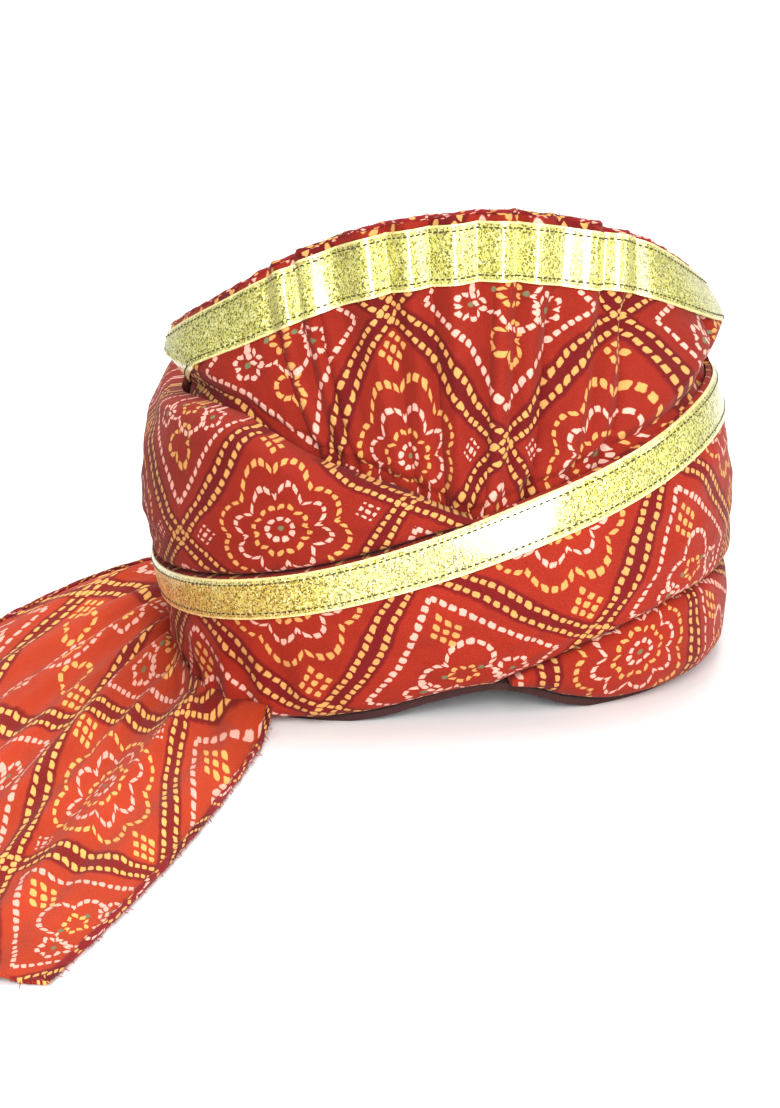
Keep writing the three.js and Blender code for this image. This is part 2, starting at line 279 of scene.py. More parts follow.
@dataclass(frozen=True)
class TurbanForm:
    """The turban's driving sizes.

    They are the solids' own, apart from the band's lean, the fan's tuck and the left turn's end in the V,
    which are the cloth's. Turns are in degrees seen from above: 0 at the front, + to the right, 180 at
    the back.
    """

    turn_thickness: float = 9.0
    edge_round: float = 5.0
    band_round: float = 1.5
    seam: float = 0.3
    band_lean: float = 2.0
    lean_turn: float = 10.0
    lean_width: float = 16.0
    lean_drop: float = 18.0
    fan_tuck: float = 6.6
    tuck_starts: Pair = (-4.0, 9.0)
    tuck_ends: Pair = (96.0, 76.0)
    tuck_below: Pair = (30.0, 9.0)
    tuck_above: Pair = (-42.0, -3.0)
    head: Oval = Oval(80, 98, 2.2)
    body: Oval = Oval(114.8, 130, 2.8)
    profile: Curve = Curve((0, 20, 55, 85, 108, 125), (0.925, 0.96, 1, 0.985, 0.94, 0.87))
    hem_line: Curve = Curve(
        (-180, -60, -24, -12, -3, 8, 14, 20, 28, 60, 180),
        (2.2, 2.2, 2.2, 5, 9.3, 12.4, 10.2, 5.6, 2.2, 2.2, 2.2),
    )
    band: Curve = Curve(
        (-180, -135, -90, -65, -40, -20, 0, 20, 45, 65, 90, 135, 180),
        (80, 61, 51, 50, 54, 60.5, 71.5, 86, 103, 107.5, 107, 97, 80),
    )
    left_top: Curve = Curve(
        (-290, -255, -180, -110, -84, -66, -48, -35, -28, -20, -10, -4, 0.5, 5),
        (112.5, 115, 117, 118, 115.5, 111.5, 113, 111, 105.5, 97.5, 89.5, 84.5, 79.5, 76.2),
    )
    crease: Curve = Curve(
        (8, 13, 23, 37, 49, 60, 100, 140, 168, 176),
        (12.4, 17.6, 27, 35.5, 37, 36.5, 32, 18, 6, 2.2),
    )
    swells: tuple[Swell, ...] = (
        Swell(8, 16, 8, 18, -4),
        Swell(-33, 13, 0, 16, 5),
        Swell(42, 34, 13, 16, 5),
        Swell(-60, 30, 85, 22, 2),
    )

    def body_radius(self, turn: Array, z: Array) -> Array:
        """Distance from the middle to the body's plain outside."""
        return self.body.radius(turn) * self.profile(z)

    def hem(self, turn: Array) -> Array:
        """Height of the hem that arches up over the front."""
        return self.hem_line(wrapped(turn))

    def band_line(self, turn: Array) -> Array:
        """Height of the top of the gold band."""
        return self.band(wrapped(turn))

    def lower_hem(self, turn: Array) -> Array:
        """Lower edge of the lower turn: the crease over the roll, and the hem elsewhere.

        Args:
            turn: one or many turns.

        Returns:
            The heights.
        """
        at = wrapped(turn)
        over_roll = (at > self.crease.at[0]) & (at < self.crease.at[-1])
        return np.where(over_roll, np.maximum(self.hem(turn), self.crease(at)), self.hem(turn))

    def swell(self, turn: Array, z: Array) -> Array:
        """How far the outer turns swell out or dent in at a place."""
        return sum(swell.at(turn, z) for swell in self.swells)

    def swollen(self, turn: Array, z: Array) -> Array:
        """Distance from the middle to the outer turns' outside."""
        return self.body_radius(turn, z) + self.swell(turn, z) - self.leaned(turn, z)

    def pulled_back(self, turn: Array) -> Array:
        """How far the band's top is pulled back at the front."""
        return self.band_lean * bell((turn - self.lean_turn) / self.lean_width)

    def leaned(self, turn: Array, z: Array) -> Array:
        """How far back the band leans at a height, so that it faces up a little.

        Args:
            turn: turns of the places.
            z: their heights.

        Returns:
            The distances.
        """
        below = self.band_line(turn) - z
        lean = self.pulled_back(wrapped(turn)) * smooth(below, self.lean_drop, 0)
        return np.where(below >= 0, lean, 0)

    def cover_height(self, turn: Array) -> Array:
        """Lowest height at which the fan shows, over the turn of cloth in front of it."""
        return np.where(turn < self.left_top.at[-1], self.left_top(turn), self.band_line(turn))

    def tucked_in(self, turn: Array, z: Array) -> Array:
        """How much of the lower turn's thickness the fan takes up, close to the band's top.

        Args:
            turn: turns of the places.
            z: their heights.

        Returns:
            The distances.
        """
        beside = smooth(turn, *self.tuck_starts) * smooth(turn, *self.tuck_ends)
        below = self.band_line(turn) - z
        near = smooth(below, *self.tuck_below) * smooth(below, *self.tuck_above)
        return np.maximum(0, self.fan_tuck - self.pulled_back(turn)) * beside * near

    def band_slope(self, turn: Array) -> Array:
        """Slope angle of the gold band at a turn.

        Args:
            turn: one or many turns.

        Returns:
            The angles in radians.
        """
        ahead = 2.0
        rise = self.band_line(turn + ahead) - self.band_line(turn - ahead)
        run = 2 * np.radians(ahead) * self.body_radius(turn, self.band_line(turn))
        return np.arctan2(rise, run)

    def band_run(self, turns: Array) -> Array:
        """Length along the band from the front, at rising turns, + to the right.

        Args:
            turns: the turns.

        Returns:
            The lengths.
        """
        fine = np.linspace(turns[0], turns[-1], 4 * len(turns))
        line = place(fine, self.body_radius(fine, self.band_line(fine)), self.band_line(fine))
        run = np.interp(turns, fine, run_length(line))
        return run - np.interp(0, turns, run)


# Meshes


@dataclass
class Sheet:
    """A piece of cloth between an outer and an inner grid of points.

    Attributes:
        outer: points of the outer face, by column and row.
        inner: points of the inner face.
        cloth: place of each point on the flat cloth.
        is_ring: whether the last column is the first one again.
        has_pole: whether the last row is one point.
    """

    outer: Array
    inner: Array
    cloth: Array
    is_ring: bool = False
    has_pole: bool = False

    def __post_init__(self) -> None:
        """Drops a ring's last column, which only the flat cloth needs."""
        if self.is_ring:
            self.outer, self.inner = self.outer[:-1], self.inner[:-1]

    def faces(self) -> tuple[Array, Array, Array]:
        """Column, row and side of each corner of every four-sided face.

        Returns:
            The three numbers, by face and corner.
        """
        columns, rows = self.outer.shape[:2]
        spans = columns if self.is_ring else columns - 1
        c, r = (a.ravel() for a in np.meshgrid(range(spans), range(rows - 1), indexing="ij"))
        edge, top = np.arange(spans), rows - 1
        parts = [
            ([c, c + 1, c + 1, c], [r, r, r + 1, r + 1], (0, 0, 0, 0)),
            ([c, c, c + 1, c + 1], [r, r + 1, r + 1, r], (1, 1, 1, 1)),
            ([edge + 1, edge, edge, edge + 1], [0 * edge] * 4, (0, 0, 1, 1)),
        ]
        if not self.has_pole:
            parts.append(([edge, edge + 1, edge + 1, edge], [0 * edge + top] * 4, (0, 0, 1, 1)))
        if not self.is_ring:
            side, end = np.arange(rows - 1), columns - 1
            parts.append(([0 * side] * 4, [side, side + 1, side + 1, side], (0, 0, 1, 1)))
            parts.append(([0 * side + end] * 4, [side + 1, side, side, side + 1], (0, 0, 1, 1)))
        column = np.concatenate([np.stack(cols, 1) for cols, _, _ in parts])
        row = np.concatenate([np.stack(rws, 1) for _, rws, _ in parts])
        sides = np.concatenate([np.tile(s, (len(cols[0]), 1)) for cols, _, s in parts])
        return column, row, sides

    def to_object(self, name: str) -> Object:
        """Makes the closed mesh, with the flat cloth's places as its UV map.

        Args:
            name: the object's name.

        Returns:
            The new object, linked to the scene.
        """
        columns, rows = self.outer.shape[:2]
        column, row, side = self.faces()
        points = np.concatenate([self.outer.reshape(-1, 3), self.inner.reshape(-1, 3)])
        corner = side * columns * rows + (column % columns) * rows + row
        a, b, c, d = (points[corner[:, k]] for k in range(4))
        volume = np.sum(a * (np.cross(b, c) + np.cross(c, d)))
        if volume < 0:
            column, row, corner = column[:, ::-1], row[:, ::-1], corner[:, ::-1]
        mesh = bpy.data.meshes.new(name)
        mesh.from_pydata((points * MM).tolist(), [], corner.tolist())
        layer = mesh.uv_layers.new(name=CLOTH_MAP)
        flat = self.cloth[column.ravel(), row.ravel()] * MM
        layer.data.foreach_set("uv", flat.astype(np.float32).ravel())
        if self.has_pole:
            join_pole(mesh)
        mesh.shade_smooth()
        mesh.set_sharp_from_angle(angle=SHARP_EDGE)
        return linked(name, mesh)


def join_pole(mesh: bpy.types.Mesh) -> None:
    """Merges a pole's doubled points and drops its empty faces.

    Args:
        mesh: the mesh to mend.
    """
    work = bmesh.new()
    work.from_mesh(mesh)
    bmesh.ops.remove_doubles(work, verts=work.verts, dist=SAME_POINT)
    bmesh.ops.dissolve_degenerate(work, edges=work.edges, dist=SAME_POINT)
    work.to_mesh(mesh)
    work.free()


def linked(name: str, data: bpy.types.ID | None) -> Object:
    """A new object in the scene.

    Args:
        name: its name.
        data: what it shows.

    Returns:
        The object.
    """
    made = bpy.data.objects.new(name, data)
    bpy.context.scene.collection.objects.link(made)
    return made


def normals(grid: Array) -> Array:
    """Unit normals of a grid of points, pointing away from the turban's middle.

    Args:
        grid: the points, by column and row.

    Returns:
        The normals.
    """
    across = np.gradient(grid, axis=0)
    along = np.gradient(grid, axis=1)
    normal = np.cross(along, across)
    normal /= np.linalg.norm(normal, axis=-1, keepdims=True) + 1e-9
    outward = np.sum(normal[..., :2] * grid[..., :2]) > 0
    return normal if outward else -normal


# Shader fields and node groups


class Field:
    """A number that changes over a surface, worked with like a plain number."""

    def __init__(self, tree: Tree, socket: Socket) -> None:
        """Keeps the tree and the socket that gives the number."""
        self.tree = tree
        self.socket = socket

    def _math(self, operation: str, *others: Field | float, clamp: bool = False) -> Field:
        """One Math node on this number and the others.

        Args:
            operation: the node's operation.
            others: its further inputs.
            clamp: whether the result is kept between 0 and 1.

        Returns:
            The result.
        """
        node = self.tree.nodes.new("ShaderNodeMath")
        node.operation = operation
        node.use_clamp = clamp
        self.tree.links.new(self.socket, node.inputs[0])
        for other, socket in zip(others, list(node.inputs)[1:]):
            if isinstance(other, Field):
                self.tree.links.new(other.socket, socket)
            else:
                socket.default_value = other
        return Field(self.tree, node.outputs[0])

    def __add__(self, other: Field | float) -> Field:
        """Sum."""
        return self._math("ADD", other)

    def __sub__(self, other: Field | float) -> Field:
        """Difference."""
        return self._math("SUBTRACT", other)

    def __mul__(self, other: Field | float) -> Field:
        """Product."""
        return self._math("MULTIPLY", other)

    def __truediv__(self, other: Field | float) -> Field:
        """Quotient."""
        return self._math("DIVIDE", other)

    def __abs__(self) -> Field:
        """Size without its sign."""
        return self._math("ABSOLUTE")

    def sine(self) -> Field:
        """Sine of an angle."""
        return self._math("SINE")

    def floor(self) -> Field:
        """Next whole number below."""
        return self._math("FLOOR")

    def fraction(self) -> Field:
        """What is left above the next whole number below."""
        return self._math("FRACT")

    def root(self) -> Field:
        """Square root."""
        return self._math("SQRT")

    def angle_from(self, other: Field) -> Field:
        """Angle of the direction (other, this)."""
        return self._math("ARCTAN2", other)

    def most(self, other: Field | float) -> Field:
        """The larger one."""
        return self._math("MAXIMUM", other)

    def least(self, other: Field | float) -> Field:
        """The smaller one."""
        return self._math("MINIMUM", other)

    def odd(self) -> Field:
        """1 for an odd whole number and 0 for an even one."""
        return self._math("FLOORED_MODULO", 2.0)

    def below(self, edge: float, soft: float) -> Field:
        """1 where this is below an edge, with a soft change over a width."""
        return self._math("MULTIPLY_ADD", -1 / soft, edge / soft + 0.5, clamp=True)

    def above(self, edge: float, soft: float) -> Field:
        """1 where this is above an edge, with a soft change over a width."""
        return self._math("MULTIPLY_ADD", 1 / soft, 0.5 - edge / soft, clamp=True)

    def to_nearest(self) -> Field:
        """Signed distance to the nearest whole number."""
        return (self + 0.5).fraction() - 0.5


class TreeMaker:
    """A node tree under construction."""

    tree: Tree
    entry: Node

    def put(self, value: object, socket: Socket) -> None:
        """Links a socket to an input, or sets a plain value on it.

        Args:
            value: the socket or the value.
            socket: the input.
        """
        if isinstance(value, Socket):
            self.tree.links.new(value, socket)
        else:
            socket.default_value = value

    def add(self, kind: str, **settings: object) -> Node:
        """Adds a node with some of its settings and inputs.

        Args:
            kind: the node's type, without its tree's prefix where it is a shader's.
            settings: properties of the node, or in_NAME for an input, a socket or a plain value.

        Returns:
            The new node.
        """
        prefixed = kind if kind.startswith(("Geometry", "Function")) else f"ShaderNode{kind}"
        node = self.tree.nodes.new(prefixed)
        for key, value in settings.items():
            if not key.startswith("in_"):
                setattr(node, key, value)
        for key, value in settings.items():
            if key.startswith("in_"):
                name = key[3:].replace("_", " ")
                self.put(value, next(s for s in node.inputs if s.name == name and s.enabled))
        return node

    def takes(self, name: str, kind: str = "Float") -> Socket:
        """Adds a named input and returns its socket inside the tree."""
        self.tree.interface.new_socket(name, in_out="INPUT", socket_type=f"NodeSocket{kind}")
        return self.entry.outputs[name]


class Group(TreeMaker):
    """A shader node group under construction, with named sockets."""

    def __init__(self, name: str) -> None:
        """Starts an empty group.

        Args:
            name: the group's name.
        """
        self.tree = bpy.data.node_groups.new(name, "ShaderNodeTree")
        self.entry = self.tree.nodes.new("NodeGroupInput")
        self.exit = self.tree.nodes.new("NodeGroupOutput")

    def gives(self, name: str, kind: str, socket: Socket) -> None:
        """Adds a named output that takes its value from a socket inside the group."""
        self.tree.interface.new_socket(name, in_out="OUTPUT", socket_type=f"NodeSocket{kind}")
        self.tree.links.new(socket, self.exit.inputs[name])


def linear(red: int, green: int, blue: int) -> Colour:
    """Scene colour of a screen colour.

    Args:
        red, green, blue: the screen colour, from 0 to 255.

    Returns:
        The colour, with full cover.
    """

    def one(value: int) -> float:
        """One channel."""
        share = value / 255
        return share / 12.92 if share <= 0.04045 else ((share + 0.055) / 1.055) ** 2.4

    return one(red), one(green), one(blue), 1.0


# Darker red ground and rows for the left turn and the fan: painted shade on the same cloth.
PAINTED_SHADE_RED = linear(138, 33, 18)
PAINTED_SHADE_ROWS = linear(104, 16, 16)


class Dye(Enum):
    """Colours of the print's dashes."""

    YELLOW = "Yellow"
    WHITE = "White"
    GREEN = "Green"


class Cell(Enum):
    """Kinds of cells in the print's net."""

    CLOUD = "cloud"
    ROSETTE = "rosette"
    FLOWER = "cloud or rosette"
    RING = "ring"


class Mirror(Enum):
    """How often a motif stands in its cell."""

    NONE = "once"
    SIDES = "left and right"
    ENDS = "above and below"


@dataclass(frozen=True)
class Motif:
    """A motif in the cells of one kind.

    Attributes:
        cell: the kind of cell.
        dye: its colour.
        x, y: its middle, from the cell's middle.
        mirror: how often it stands there.
    """

    cell: Cell
    dye: Dye
    _: KW_ONLY
    x: float = 0.0
    y: float = 0.0
    mirror: Mirror = Mirror.NONE

    def drawn(self, dots: DotPrint, x: Field, y: Field) -> Field:
        """The motif's mask, from places round its own middle."""
        raise NotImplementedError

    def mask(self, dots: DotPrint, x: Field, y: Field) -> Field:
        """The motif's mask in its cell.

        Args:
            dots: the print that it is part of.
            x, y: place from the cell's middle.

        Returns:
            The mask.
        """
        x = abs(x) if self.mirror is Mirror.SIDES else x
        y = abs(y) if self.mirror is Mirror.ENDS else y
        return self.drawn(dots, x - self.x, y - self.y)


@dataclass(frozen=True, kw_only=True)
class Loop(Motif):
    """A closed row of dashes, with lobes.

    Attributes:
        radius: its smallest radius.
        count: number of dashes.
        lobe: how far a lobe stands out.
        lobes: number of lobes.
    """

    radius: float
    count: int
    lobe: float = 0.0
    lobes: int = 8

    mean_lobe: ClassVar[float] = 0.6

    def drawn(self, dots: DotPrint, x: Field, y: Field) -> Field:
        """The loop's dashes.

        Args:
            dots: the print that it is part of.
            x, y: place from the loop's middle.

        Returns:
            The dashes' mask.
        """
        reach = (x * x + y * y).root()
        angle = y.angle_from(x)
        line = abs((angle * (self.lobes / 2)).sine()) * self.lobe + self.radius
        pitch = 2 * math.pi * (self.radius + self.mean_lobe * self.lobe) / self.count
        return dots.dash(abs(reach - line), angle * (self.count / (2 * math.pi)), pitch)


@dataclass(frozen=True, kw_only=True)
class Diamond(Motif):
    """A diamond of dots.

    Attributes:
        half: half of its width.
        pitch: distance between two dots.
    """

    half: float
    pitch: float = 3.2

    def drawn(self, dots: DotPrint, x: Field, y: Field) -> Field:
        """The diamond's dots.

        Args:
            dots: the print that it is part of.
            x, y: place from the diamond's middle.

        Returns:
            The dots' mask.
        """
        p, q = (x + y) * math.sqrt(0.5), (x - y) * math.sqrt(0.5)
        away = abs((p / self.pitch).to_nearest()) * self.pitch
        inside = abs(p).most(abs(q)).below(self.half, 0.2)
        return dots.dash(away, q / self.pitch, self.pitch) * inside


@dataclass(frozen=True)
class DotPrint:
    """The resist-dyed print: rows of small dashes in an ogee net, with flowers and rings in its cells.

    Attributes:
        along, across: the net's period along and across the cloth.
        bow: how much the net's lines bow out.
        apart: half the distance between a line's two rows of dashes.
        half_width, half_length: half of one dash.
        dashes: dashes on one side of a cell.
        soft: width of a dash's soft edge, as a share of its half width.
        wander, wander_scale: how far the hand-tied rows wander, and how quickly.
        rough, rough_scale: how uneven each dash is, and how finely.
        track_beyond: how far the darker ground goes past a line's rows.
        cloud_share: share of the flowered cells that hold a cloud.
        inner_line: distance of a ringed cell's white line from the cell's sides.
        seed: fixes which flowered cells hold a cloud.
        motifs: what stands in the cells.
    """

    along: float = 94.0
    across: float = 90.0
    bow: float = 0.3
    apart: float = 2.45
    half_width: float = 0.93
    half_length: float = 1.09
    dashes: int = 21
    soft: float = 0.5
    wander: float = 2.3
    wander_scale: float = 0.045
    rough: float = 0.55
    rough_scale: float = 0.5
    track_beyond: float = 2.2
    cloud_share: float = 0.62
    inner_line: float = 9.4
    seed: float = 3.7

    motifs: ClassVar[tuple[Motif, ...]] = (
        Loop(Cell.CLOUD, Dye.YELLOW, radius=21.0, lobe=3.8, count=46),
        Loop(Cell.CLOUD, Dye.WHITE, radius=13.4, lobe=5.0, count=36),
        Loop(Cell.CLOUD, Dye.WHITE, radius=4.6, count=9),
        Loop(Cell.CLOUD, Dye.YELLOW, radius=8.8, lobe=1.6, count=18),
        Loop(Cell.CLOUD, Dye.GREEN, radius=0.2, count=1),
        Loop(Cell.ROSETTE, Dye.WHITE, radius=11.0, count=22),
        Loop(Cell.ROSETTE, Dye.YELLOW, radius=4.4, lobe=2.6, count=14),
        Loop(
            Cell.ROSETTE, Dye.WHITE, x=20.0, y=-2.0, mirror=Mirror.SIDES,
            radius=5.2, lobe=1.4, lobes=5, count=13,
        ),
        Loop(
            Cell.ROSETTE, Dye.YELLOW, x=20.0, y=-2.0, mirror=Mirror.SIDES,
            radius=1.3, lobes=5, count=3,
        ),
        Loop(
            Cell.ROSETTE, Dye.YELLOW, y=19.0, mirror=Mirror.ENDS,
            radius=4.0, lobe=2.2, lobes=3, count=11,
        ),
        Diamond(Cell.FLOWER, Dye.YELLOW, y=31.0, mirror=Mirror.ENDS, half=4.8),
        Diamond(Cell.FLOWER, Dye.WHITE, x=32.0, mirror=Mirror.SIDES, half=3.2),
        Loop(Cell.RING, Dye.WHITE, y=2.0, radius=8.4, lobe=6.4, lobes=3, count=27),
        Loop(
            Cell.RING, Dye.WHITE, x=15.5, y=-3.0, mirror=Mirror.SIDES,
            radius=4.2, lobe=1.6, lobes=5, count=11,
        ),
        Loop(Cell.RING, Dye.YELLOW, y=2.0, radius=3.6, lobe=1.4, lobes=5, count=9),
        Loop(Cell.RING, Dye.GREEN, x=6.5, y=3.0, mirror=Mirror.SIDES, radius=0.2, count=1),
        Loop(Cell.RING, Dye.GREEN, x=15.5, y=-3.0, mirror=Mirror.SIDES, radius=0.2, count=1),
        Loop(Cell.RING, Dye.YELLOW, y=-15.0, radius=4.0, lobe=3.0, lobes=3, count=13),
        Diamond(Cell.RING, Dye.YELLOW, y=21.0, half=4.8),
    )

    @property
    def reach(self) -> float:
        """Distance across one cell between two facing sides."""
        return 1 / math.hypot(1 / self.along, 1 / self.across)

    def dash(self, away: Field, run: Field, pitch: float) -> Field:
        """One row of dashes.

        Args:
            away: distance from the row's line.
            run: place along it, 1 for each dash.
            pitch: distance between two dashes.

        Returns:
            The dashes' mask.
        """
        beside = away * (1 / self.half_width)
        between = run.to_nearest() * (pitch / self.half_length)
        wide, long = beside * beside, between * between
        return (wide * wide + long * long).below(1.0, 2 * self.soft)

    def wandering(self, made: Group) -> tuple[Field, Field]:
        """Places on the cloth in millimetres, moved a little as hand-tied rows are.

        Args:
            made: the group under construction.

        Returns:
            The places along and across the cloth.
        """
        spot = made.takes("Place", "Vector")
        scaled = made.add("VectorMath", operation="SCALE", in_Vector=spot, in_Scale=1 / MM).outputs[0]
        drift = made.add("TexNoise", in_Vector=scaled, in_Scale=self.wander_scale, in_Detail=2.0)
        centred = made.add("VectorMath", operation="SUBTRACT", in_Vector=drift.outputs["Color"])
        centred.inputs[1].default_value = (0.5, 0.5, 0.5)
        pushed = made.add(
            "VectorMath", operation="SCALE", in_Vector=centred.outputs[0], in_Scale=2 * self.wander
        )
        fine = made.add("TexNoise", in_Vector=scaled, in_Scale=self.rough_scale, in_Detail=1.0)
        ragged = made.add("VectorMath", operation="MULTIPLY_ADD", in_Vector=fine.outputs["Color"])
        ragged.inputs[1].default_value = (2 * self.rough,) * 3
        made.tree.links.new(pushed.outputs[0], ragged.inputs[2])
        moved = made.add("VectorMath", operation="ADD", in_Vector=scaled)
        made.tree.links.new(ragged.outputs[0], moved.inputs[1])
        parts = made.add("SeparateXYZ", in_Vector=moved.outputs[0])
        return Field(made.tree, parts.outputs["X"]), Field(made.tree, parts.outputs["Y"])

    def kinds(self, made: Group, first: Field, second: Field) -> dict[Cell, Field]:
        """Which kind each cell of the net is.

        Args:
            made: the group under construction.
            first, second: whole numbers of the cell, one for each direction of the net.

        Returns:
            A mask for each kind.
        """
        ringed = (first + second).odd()
        flowered = ringed * -1.0 + 1.0
        cell = made.add("CombineXYZ", in_X=first.socket, in_Y=second.socket, in_Z=self.seed)
        chance = made.add("TexWhiteNoise", noise_dimensions="3D", in_Vector=cell.outputs[0])
        lot = Field(made.tree, chance.outputs["Value"])
        rosette = flowered * lot.above(self.cloud_share, 0.01)
        return {
            Cell.RING: ringed,
            Cell.FLOWER: flowered,
            Cell.ROSETTE: rosette,
            Cell.CLOUD: flowered - rosette,
        }

    def group(self) -> Tree:
        """Builds the group: a place on the cloth in, the print's masks out.

        Returns:
            The node group.
        """
        made = Group("dot print")
        x, y = self.wandering(made)
        level = y * (1 / self.across)
        bowed = level + (level * (4 * math.pi)).sine() * (self.bow / (4 * math.pi))
        run = x * (1 / self.along)
        first, second = run + bowed, run - bowed
        pitch = math.hypot(self.along, self.across) / 2 / self.dashes
        masks: dict[Dye, list[Field]] = {dye: [] for dye in Dye}
        tracks = []
        for line, other in ((first, second), (second, first)):
            away = abs(line.to_nearest()) * self.reach
            masks[Dye.YELLOW].append(self.dash(abs(away - self.apart), other * self.dashes, pitch))
            tracks.append(away.below(self.apart + self.track_beyond, 1.0))

        cell_first, cell_second = first.floor(), second.floor()
        in_first, in_second = first - cell_first - 0.5, second - cell_second - 0.5
        cell_x = (in_first + in_second) * (self.along / 2)
        cell_y = (in_first - in_second) * (self.across / 2)
        kinds = self.kinds(made, cell_first, cell_second)
        for motif in self.motifs:
            masks[motif.dye].append(kinds[motif.cell] * motif.mask(self, cell_x, cell_y))

        inside = (abs(in_first).most(abs(in_second)) * -1.0 + 0.5) * self.reach
        beside = abs(in_first).least(abs(in_second)) * self.dashes
        inner = self.dash(abs(inside - self.inner_line), beside, pitch)
        masks[Dye.WHITE].append(kinds[Cell.RING] * inner)
        for dye, fields in masks.items():
            made.gives(dye.value, "Float", reduce(Field.most, fields).socket)
        made.gives("Track", "Float", reduce(Field.most, tracks).socket)
        return made.tree


@dataclass(frozen=True)
class Weave:
    """Plain weave of fine threads with a soft crinkle.

    Attributes:
        pitch: distance between two threads.
        crinkle: size of the crinkle.
    """

    pitch: float = 0.55
    crinkle: float = 5.0

    def group(self) -> Tree:
        """Builds the group: a place on the cloth in, the threads' height and a tone that follows it out,
        for painted light and shade on the relief.

        Returns:
            The node group.
        """
        made = Group("plain weave")
        spot = made.takes("Place", "Vector")
        scaled = made.add("VectorMath", operation="SCALE", in_Vector=spot, in_Scale=1 / MM)
        parts = made.add("SeparateXYZ", in_Vector=scaled.outputs[0])
        x, y = (Field(made.tree, parts.outputs[axis]) for axis in "XY")
        turn = math.pi / self.pitch
        threads = (x * turn).sine() * (y * turn).sine()
        soft = made.add(
            "TexNoise", in_Vector=scaled.outputs[0], in_Scale=1 / self.crinkle, in_Detail=3.0
        )
        crinkle = Field(made.tree, soft.outputs["Fac"])
        made.gives("Height", "Float", (crinkle * 3.0 + threads * 0.25).socket)
        # Tone follows the relief: high threads and crinkle give a painted highlight, low ones painted
        # shade.
        made.gives("Tone", "Float", (crinkle * 0.6 + threads * 0.12 + 0.2).socket)
        return made.tree


@dataclass(frozen=True)
class Glitter:
    """Small flakes that each face their own way.

    Attributes:
        flake: size of a flake.
    """

    flake: float = 0.5

    def group(self) -> Tree:
        """Builds the group: a place on the ribbon in, the flakes' tone and normal out.

        Returns:
            The node group.
        """
        made = Group("glitter")
        spot = made.takes("Place", "Vector")
        tilt = made.takes("Tilt", "Float")
        flakes = made.add("TexVoronoi", in_Vector=spot, in_Scale=1 / MM / self.flake)
        facing = made.add("VectorMath", operation="SUBTRACT", in_Vector=flakes.outputs["Color"])
        facing.inputs[1].default_value = (0.5, 0.5, 0.5)
        tipped = made.add(
            "VectorMath", operation="SCALE", in_Vector=facing.outputs[0], in_Scale=tilt
        )
        surface = made.add("NewGeometry")
        summed = made.add("VectorMath", operation="ADD", in_Vector=surface.outputs["Normal"])
        made.tree.links.new(tipped.outputs[0], summed.inputs[1])
        unit = made.add("VectorMath", operation="NORMALIZE", in_Vector=summed.outputs[0])
        tone = made.add("SeparateColor", in_Color=flakes.outputs["Color"])
        made.gives("Tone", "Float", tone.outputs["Green"])
        made.gives("Normal", "Vector", unit.outputs[0])
        return made.tree


@dataclass
class Effects:
    """The shader groups and Geometry Nodes trees that the pieces share."""

    print: Tree
    weave: Tree
    glitter: Tree
    stitches: Tree
    threads: Tree

    @classmethod
    def build(cls) -> Effects:
        """Builds each one once."""
        shaders = (effect.group() for effect in (DotPrint(), Weave(), Glitter()))
        return cls(*shaders, stitch_tree(), thread_tree())


class MaterialTree(TreeMaker):
    """A material under construction, with its shader."""

    def __init__(self, name: str) -> None:
        """Starts a material with a Principled shader and nothing else.

        Args:
            name: the material's name.
        """
        self.material = bpy.data.materials.new(name)
        self.material.use_nodes = True
        self.tree = self.material.node_tree
        self.shader = self.tree.nodes["Principled BSDF"]

    def blend(
        self, share: Socket | float, a: Socket | Numbers, b: Socket | Numbers, how: str = "MIX"
    ) -> Socket:
        """Blends from colour a to colour b by a share."""
        node = self.add("Mix", data_type="RGBA", blend_type=how, in_Factor=share, in_A=a, in_B=b)
        return next(s for s in node.outputs if s.enabled)

    def ranged(self, value: Socket, ends: Pair) -> Socket:
        """A value from 0 to 1 brought between two ends."""
        node = self.add("MapRange", in_Value=value, in_To_Min=ends[0], in_To_Max=ends[1])
        return node.outputs[0]

    def woven(self, weave: Tree, spot: Socket, roughness: Pair, height: Pair) -> Socket:
        """Gives the shader the weave's roughness and relief.

        Args:
            weave: the weave's node group.
            spot: place on the cloth.
            roughness: roughness of low and high threads.
            height: strength and distance of the relief.

        Returns:
            The threads' tone, high where the relief stands high, for painted light and shade.
        """
        threads = self.add("Group", node_tree=weave, in_Place=spot).outputs
        relief = self.add(
            "Bump", in_Height=threads["Height"], in_Strength=height[0], in_Distance=height[1]
        )
        self.feed(Roughness=self.ranged(threads["Tone"], roughness), Normal=relief.outputs[0])
        return threads["Tone"]

    def feed(self, **inputs: object) -> None:
        """Links or sets inputs of the shader, with _ for a space in their names."""
        for key, value in inputs.items():
            self.put(value, self.shader.inputs[key.replace("_", " ")])


